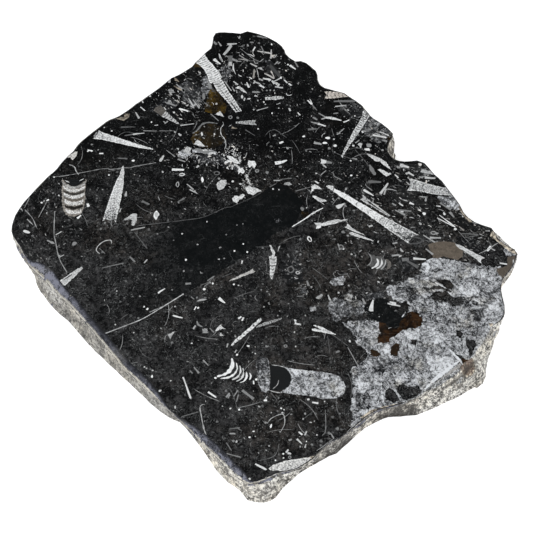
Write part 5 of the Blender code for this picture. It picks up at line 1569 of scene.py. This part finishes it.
def polishedLimestone():
    material, place = newMaterial("polishedLimestone")
    x, y, _ = axesOf(place)
    middling = mottle(place, *limestone["middling"]) * 0.85 + 0.12
    fine = mottle(place, *limestone["fine"]) * 0.95 + 0.05
    wide = mottle(place, *limestone["wide"]) * 0.5 + 0.7
    # the mud is blacker towards the far side
    amount = middling * fine * wide * fade(y, -20.0, 90.0, 1.25, 0.4)
    amount = (amount - fade(y, -40.0, 80.0, 0.02, 0.16)).clamped()
    mud = blend(amount, limestone["deep"], limestone["grey"])
    mud = blend(mottle(place, *limestone["peat"]), mud, limestone["peaty"], "MULTIPLY")
    # crumbs of shell too small to cut, thinner where the mud is clean
    clean = carried(place, "pale")[0] * fade(x, -112.0, -46.0)
    crowd = (mottle(place, *limestone["crowd"]) * 0.85 + 0.2) * (1 - clean * 0.88)
    crowd = crowd * fade(y, -20.0, 90.0, 1.05, 0.36)
    crumbs = 0.0
    for size, width, length, brightness in limestone["streaks"]:
        streaks = use("shellSplinters", place, Size=size, Width=width, Length=length, Lean=-0.6, Spread=3.4)
        crumbs = larger(crumbs, streaks["Mask"] * streaks["Shade"] * brightness)
    for size, brightness in limestone["specks"]:
        specks = use("shellDust", place, Size=size, Amount=0.4)
        crumbs = larger(crumbs, specks["Mask"] * specks["Shade"] ** 2.0 * brightness)
    haze = use("crystals", place, Size=6.0, Blade=0.8, Stretch=3.4)["Mask"]
    crumbs = (crumbs + haze ** 3.0 * 0.06) * crowd
    cracks = use("hairCracks", place, Spacing=46.0, Width=0.006)["Mask"]
    mud = blend(clean * 0.8, mud, limestone["clean"])
    return finish(material, place, blend(larger(crumbs, cracks * 0.09), mud, limestone["dust"]), limestone)


shellFinish = {
    "black": (0.005, 0.006, 0.007, 1),
    "white": (0.86, 0.865, 0.86, 1),
    "rust": (0.8, 0.62, 0.44, 1),
    "brightness": 1.14,
    "wallDepth": 0.76,     # how dark the chamber walls are
    "speckle": (1.3, 0.42, 0.6, 0.7),
    "clouds": (5.0, 0.34, 0.66),
    "specular": 0.4, "polish": 0.2, "wear": 0.12, "grain": 0.9, "grainDepth": 0.006,
}


def calciteShell():
    material, place = newMaterial("calciteShell")
    pale, warm, tone, coarse = carried(place, "pale", "warm", "tone", "coarse")
    along, across, chamber = carried(place, "along", "across", "chamber")
    spots = mottle(place, *shellFinish["speckle"])
    clouds = mottle(place, *shellFinish["clouds"])
    network = use("cellNetwork", place, Size=1.7, Width=0.16)["Mask"]
    # the long shells are greyer and more mottled towards their wide end
    grey = (spots * 0.5 + network * 0.32) * coarse * fade(along, 24.0, 72.0, 0.82, 1.9)
    wideEnd = (1 - clouds) * fade(along, 36.0, 70.0, 0.0, 0.5)
    texture = clouds * 0.2 + 0.84 - grey - wideEnd
    # chamber walls, arched across the shell, and more broken where they stand far apart
    wander = noiseAt(place, 0.32, 3.0)["Fac"] * fade(chamber, 2.0, 5.0, 0.8, 0.45)
    step = maths("FRACT", along / larger(chamber, 0.1) + (across * across * -0.34 + wander))
    wall = maths("LESS_THAN", step, fade(chamber, 2.4, 6.0, 0.32, 0.17)) * maths("GREATER_THAN", chamber, 0.1)
    wall = wall * (fade(noiseAt(place, 0.42, 2.0)["Fac"], 0.4, 0.58) + fade(chamber, 3.0, 5.0, 0.35, 0.04))
    # the brighter skin along both flanks
    skin = fade(abs(across), 0.7, 0.95) * maths("GREATER_THAN", along, 0.01)
    lit = skin * 0.28 + texture * (1 - wall * shellFinish["wallDepth"]) + tone * 0.12
    shade = (pale ** 1.6 * lit * shellFinish["brightness"]).clamped()
    colour = blend(shade, shellFinish["black"], shellFinish["white"])
    return finish(material, place, blend(warm, colour, shellFinish["rust"], "MULTIPLY"), shellFinish)


calcite = {
    "dark": (0.006, 0.0065, 0.0075, 1),
    "light": (0.74, 0.755, 0.78, 1),
    "cream": (0.7, 0.62, 0.45, 1),
    "clouds": (20.0, 0.38, 0.62, 0.5),
    "fine": (1.0, 0.36, 0.64, 0.8),
    "curds": (1.9, 0.49, 0.55, 0.8),
    "creamPatches": (13.0, 0.52, 0.72),
    "specular": 0.4, "polish": 0.2, "wear": 0.16, "grain": 1.2, "grainDepth": 0.012,
}


def cloudyCalcite():
    material, place = newMaterial("cloudyCalcite")
    pale, warm, coarse = carried(place, "pale", "warm", "coarse")
    sheaves = use("crystals", place, Size=9.0, Blade=1.8, Stretch=3.4)["Mask"]
    blades = use("crystals", place, Size=5.0, Blade=1.1, Stretch=3.0)["Mask"]
    network = use("cellNetwork", place, Size=5.5, Width=0.05)["Mask"]
    mixed = sheaves * 0.38 + blades * 0.46 + mottle(place, *calcite["clouds"]) * 0.14
    mixed = mixed + mottle(place, *calcite["fine"]) * 0.24 + pale - 0.52
    shade = fade(mixed - network * 0.22, 0.12, 1.12) ** 1.25
    # the loose lumps of spar are curdled with mud
    curds = mottle(place, *calcite["curds"])
    shade = shade * (1 - (1 - curds) * fade(coarse, 0.3, 1.0, 0.0, 0.8))
    creamy = larger(mottle(place, *calcite["creamPatches"]) * 0.5, warm)
    colour = blend(creamy, blend(shade, calcite["dark"], calcite["light"]), calcite["cream"], "MULTIPLY")
    return finish(material, place, colour, calcite)


stainFinish = {
    "brown": (0.16, 0.096, 0.012, 1),
    "red": (0.12, 0.053, 0.018, 1),
    "mud": (0.004, 0.0035, 0.003, 1),
    "clouds": (8.0, 0.4, 0.64),
    "fine": (1.8, 0.34, 0.64, 0.8),
    "specular": 0.25, "polish": 0.2, "wear": 0.14, "grain": 1.0, "grainDepth": 0.008,
}


def ironStain():
    material, place = newMaterial("ironStain")
    pale, warm = carried(place, "pale", "warm")
    clouds = mottle(place, *stainFinish["clouds"]) * 0.75 + 0.1
    strength = clouds * (mottle(place, *stainFinish["fine"]) * 0.8 + 0.35)
    stain = blend(warm, stainFinish["brown"], stainFinish["red"])
    colour = blend((strength * pale).clamped(), stainFinish["mud"], stain)
    dust = use("shellSplinters", place, Size=2.0, Width=0.12, Length=0.5)
    colour = blend(dust["Mask"] * dust["Shade"] * 0.12, colour, limestone["dust"])
    return finish(material, place, colour, stainFinish)


siltFinish = {
    "dark": (0.045, 0.036, 0.03, 1),
    "light": (0.74, 0.7, 0.59, 1),
    "stained": (0.92, 0.79, 0.7, 1),
    "patches": (3.2, 0.36, 0.62, 0.7),
    "fine": (1.6, 0.36, 0.64, 0.8),
    "specular": 0.5, "polish": 0.28, "wear": 0.14, "grain": 0.8, "grainDepth": 0.01,
}


def limySilt():
    material, place = newMaterial("limySilt")
    pale, warm = carried(place, "pale", "warm")
    patches = mottle(place, *siltFinish["patches"])
    even = mottle(place, *siltFinish["fine"]) * 0.7 + patches * 0.3 + 0.45
    uneven = (patches - 0.5) * (pale * 4.0 - 1.1)
    flecks = use("shellDust", place, Size=1.8, Amount=0.34)
    shade = (pale ** 1.8 * (even + uneven)).clamped()
    shade = (flecks["Mask"] * flecks["Shade"] * 0.22 + shade).clamped()
    colour = blend(shade, siltFinish["dark"], siltFinish["light"])
    return finish(material, place, blend(warm, colour, siltFinish["stained"], "MULTIPLY"), siltFinish)


bevelFinish = {
    "leastSheenAndDust": -98.0,    # mm, how far along the edge the spot with the least painted sheen and dust lies
    "slate": (0.006, 0.0065, 0.009, 1),
    # the bluish grey is a painted sheen of the sky on the ground bevel, mixed with grinding dust
    "dusty": (0.2, 0.205, 0.25, 1),
    "chalk": (0.45, 0.43, 0.38, 1),
    "softStart": 0.7,     # mm below the polished face where the grinding and its painted sheen show in full
    "fine": (0.8, 0.38, 0.66, 0.8),
    "clouds": (4.0, 0.36, 0.64),
    "specular": 0.16, "polish": 0.42, "wear": 0.2, "grain": 0.7, "grainDepth": 0.05,
}


def groundBevel():
    material, place = newMaterial("groundBevel")
    _, y, height = axesOf(place)
    fine = mottle(place, *bevelFinish["fine"])
    marks = use("shellSplinters", place, Size=2.6, Width=0.07, Length=0.7, Lean=0.8, Spread=1.2)["Mask"]
    dusty = (mottle(place, *bevelFinish["clouds"]) * 0.4 + marks * 0.35 + fine * 0.4 - 0.12).clamped()
    rim = slabShape["thickness"]
    dusty = dusty * fade(height, rim, rim - bevelFinish["softStart"])
    dusty = dusty * fade(abs(y - bevelFinish["leastSheenAndDust"]), 16.0, 52.0, 0.85, 2.5)
    # more painted sheen and dust again towards both ends of the edge
    dusty = dusty * fade(y, -64.0, -44.0, 1.0, 1.7) * fade(y, -180.0, -196.0, 1.0, 1.6)
    # from dark slate to the bluish painted sheen and dust
    colour = blend(dusty, bevelFinish["slate"], bevelFinish["dusty"])
    chalky = fade(carried(place, "warm")[0], 0.4, 0.75) * (fine * 0.6 + 0.3)
    colour = blend(chalky, colour, bevelFinish["chalk"])
    chips = use("shellDust", place, Size=1.8, Amount=0.3)["Mask"]
    return finish(material, place, blend(chips * 0.4, colour, bevelFinish["chalk"]), bevelFinish)


brokenFinish = {
    "dark": (0.02, 0.018, 0.016, 1),
    "grey": (0.8, 0.78, 0.73, 1),
    "buff": (0.82, 0.71, 0.53, 1),
    # the dark of the pits, cracks and joints, and of the painted shadow in the parting
    "pitsAndShade": (0.03, 0.025, 0.02, 1),
    "rust": (0.085, 0.04, 0.034, 1),
    # colour of the painted highlight along the rim
    "paintedRimLight": (0.75, 0.72, 0.62, 1),
    "jointDepth": 0.72,     # how dark the joints are
    "chipContrast": 1.1,    # how much paler the fresh chips are than the old surface
    "clouds": (6.0, 0.32, 0.66),
    "grit": (1.5, 0.36, 0.6, 0.8),
    "chips": (2.0, 0.44, 0.56, 0.75),
    "fine": (0.6, 0.34, 0.64, 0.8),
    "joints": (3.2, 0.5, 0.58, 0.65),
    "specular": 0.5, "polish": 0.78, "wear": 0.12, "grain": 1.1, "grainDepth": 0.5,
}


def brokenEdge():
    material, place = newMaterial("brokenEdge")
    pale, warm, coarse, paintedRimLight = carried(place, "pale", "warm", "coarse", "paintedRimLight")
    clouds = mottle(place, *brokenFinish["clouds"])
    grit = mottle(place, *brokenFinish["grit"])
    light = blend((warm * (clouds * 0.8 + 0.2)).clamped(), brokenFinish["grey"], brokenFinish["buff"])
    chips = (mottle(place, *brokenFinish["chips"]) - 0.5) * coarse * brokenFinish["chipContrast"]
    mixed = clouds * 0.42 + grit * 0.5 + mottle(place, *brokenFinish["fine"]) * 0.3 - 0.04 + chips
    shade = (pale ** 1.15 * mixed + grit ** 3.0 * coarse * 0.18).clamped()
    colour = blend((shade * fade(coarse, 0.3, 1.0, 0.9, 1.12)).clamped(), brokenFinish["dark"], light)
    rusty = fade(warm, 1.1, 2.0) * (1 - grit * 0.5)
    colour = blend(rusty, colour, brokenFinish["rust"])
    # pits, cracks and the dark upright joints of the broken face, and the painted shadow of the parting under
    # the rim
    upright = vectors("MULTIPLY", place, (1.0, 1.0, 0.34))
    joints = mottle(upright, *brokenFinish["joints"]) * (coarse * 0.6 + 0.6)
    pits = use("shellDust", place, Size=2.4, Amount=0.5)["Mask"]
    cracks = use("hairCracks", place, Spacing=7.0, Width=0.05)["Mask"]
    rifts = use("hairCracks", vectors("MULTIPLY", place, (0.5, 0.5, 1.6)), Spacing=14.0, Width=0.07)["Mask"]
    hollow = larger(pits * 0.7, larger(cracks, rifts * coarse * 1.4) * 0.6)
    hollow = larger(hollow, joints * brokenFinish["jointDepth"])
    # where the rim value is negative, the parting gets painted shadow
    hollow = larger(hollow, paintedRimLight * -0.9).clamped()
    colour = blend(hollow, colour, brokenFinish["pitsAndShade"])
    # a painted highlight along the rim, fainter towards the right
    rim = fade(paintedRimLight, 0.3, 0.9) * fade(axesOf(place)[0], 30.0, 60.0, 0.6, 0.1)
    return finish(material, place, blend(rim, colour, brokenFinish["paintedRimLight"]), brokenFinish)


undersideFinish = {
    "stone": (0.06, 0.06, 0.063, 1),
    "dust": (0.3, 0.28, 0.25, 1),
    "sawSpacing": 2.4,   # mm between saw marks
    "ridgeDepth": 0.06,  # mm, how deep they are
    "clouds": (22.0, 0.3, 0.7),
    "fine": (1.6, 0.35, 0.65, 0.7),
    "specular": 0.5, "polish": 0.6, "wear": 0.15, "grain": 1.0, "grainDepth": 0.06,
}


def sawnUnderside():
    material, place = newMaterial("sawnUnderside")
    waveScale = 0.314 / undersideFinish["sawSpacing"]  # 0.314 is the scale of waves one unit long
    saw = put(place.tree, "TexWave", {"Vector": place, "Scale": waveScale, "Distortion": 1.2, "Detail": 2.0},
              bands_direction="DIAGONAL")["Fac"]
    dusty = saw * 0.25 + mottle(place, *undersideFinish["clouds"])
    dusty = (dusty * (mottle(place, *undersideFinish["fine"]) * 0.5 + 0.3)).clamped()
    colour = blend(dusty, undersideFinish["stone"], undersideFinish["dust"])
    dust = use("shellDust", place, Size=2.4, Amount=0.4)
    colour = blend(dust["Mask"] * dust["Shade"], colour, undersideFinish["dust"])
    return finish(material, place, colour, undersideFinish, ridges=saw)


finishes = (polishedLimestone, calciteShell, cloudyCalcite, ironStain, groundBevel, brokenEdge, sawnUnderside,
            limySilt)
slotOf = {makeFinish.__name__: slot for slot, makeFinish in enumerate(finishes)}
fossilSlab = buildSlab()
for makeFinish in finishes:
    fossilSlab.data.materials.append(makeFinish())
print("materials:", len(fossilSlab.data.materials))

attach(fossilSlab, "root")
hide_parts("fossil_slab")


studio = {
    "sky": 1.27,                 # brightness of the white room
    "skyColour": (0.97, 0.985, 1.0, 1),
    "dim": 0.05,                 # brightness of the dark card that the polish mirrors
    "card": (0.0, 0.48, 0.877),  # where that card hangs
    "cardEdge": 38,              # degrees from its middle to its soft edge
    "cardSoftness": 9,
    "paper": ((0.8, 0.8, 0.8, 1), (0.83, 0.83, 0.83, 1)),
    "floorSize": 6,
    "floorGlow": 0.5,
    "key": 2.2,                  # watts of the big soft light
    "keySize": 0.9,
    "keyPlace": (-0.75, -0.35, 0.95),
}
view = {
    "place": (0.0025, -0.390, 0.6405),
    "lean": 30,                  # degrees from straight down
    "lens": 65,
    "sensor": 36,
}


def buildStudio():
    scene = bpy.context.scene
    scene.view_settings.view_transform = "Standard"
    world = bpy.data.worlds.new("whiteRoom")
    world.use_nodes = True
    scene.world = world
    tree = world.node_tree
    direction = put(tree, "TexCoord")["Generated"]
    towards = put(tree, "VectorMath", {0: direction, 1: studio["card"]}, operation="DOT_PRODUCT")["Value"]
    outer, inner = (math.cos(math.radians(studio["cardEdge"] - soft)) for soft in (0, studio["cardSoftness"]))
    back = tree.nodes["Background"]
    tree.links.new(fade(towards, outer, inner, studio["sky"], studio["dim"]).socket, back.inputs["Strength"])
    back.inputs["Color"].default_value = studio["skyColour"]

    bm = bmesh.new()
    bmesh.ops.create_grid(bm, x_segments=1, y_segments=1, size=studio["floorSize"])
    floorMesh = bpy.data.meshes.new("studioFloor")
    bm.to_mesh(floorMesh)
    bm.free()
    floor = bpy.data.objects.new("studioFloor", floorMesh)
    scene.collection.objects.link(floor)
    paper = bpy.data.materials.new("whitePaper")
    paper.use_nodes = True
    shader = paper.node_tree.nodes["Principled BSDF"]
    fibre = put(paper.node_tree, "TexNoise", {"Scale": 400.0, "Detail": 3.0})["Fac"]
    paper.node_tree.links.new(blend(fibre, *studio["paper"]).socket, shader.inputs["Base Color"])
    for label, value in (("Roughness", 0.95), ("Specular IOR Level", 0.1), ("Emission Color", (1, 1, 1, 1)),
                         ("Emission Strength", studio["floorGlow"])):
        shader.inputs[label].default_value = value
    floorMesh.materials.append(paper)

    key = bpy.data.objects.new("softKey", bpy.data.lights.new("softKey", "AREA"))
    key.data.shape, key.data.size, key.data.energy = "DISK", studio["keySize"], studio["key"]
    key.location = studio["keyPlace"]
    key.rotation_euler = (Vector((0, 0, 0)) - key.location).to_track_quat("-Z", "Y").to_euler()
    scene.collection.objects.link(key)


buildStudio()

camera = bpy.data.objects.new("camera", bpy.data.cameras.new("camera"))
camera.data.lens, camera.data.sensor_width = view["lens"], view["sensor"]
camera.location = view["place"]
camera.rotation_euler = (math.radians(view["lean"]), 0, 0)
bpy.context.scene.collection.objects.link(camera)
bpy.context.scene.camera = camera
print("studio and camera ready")
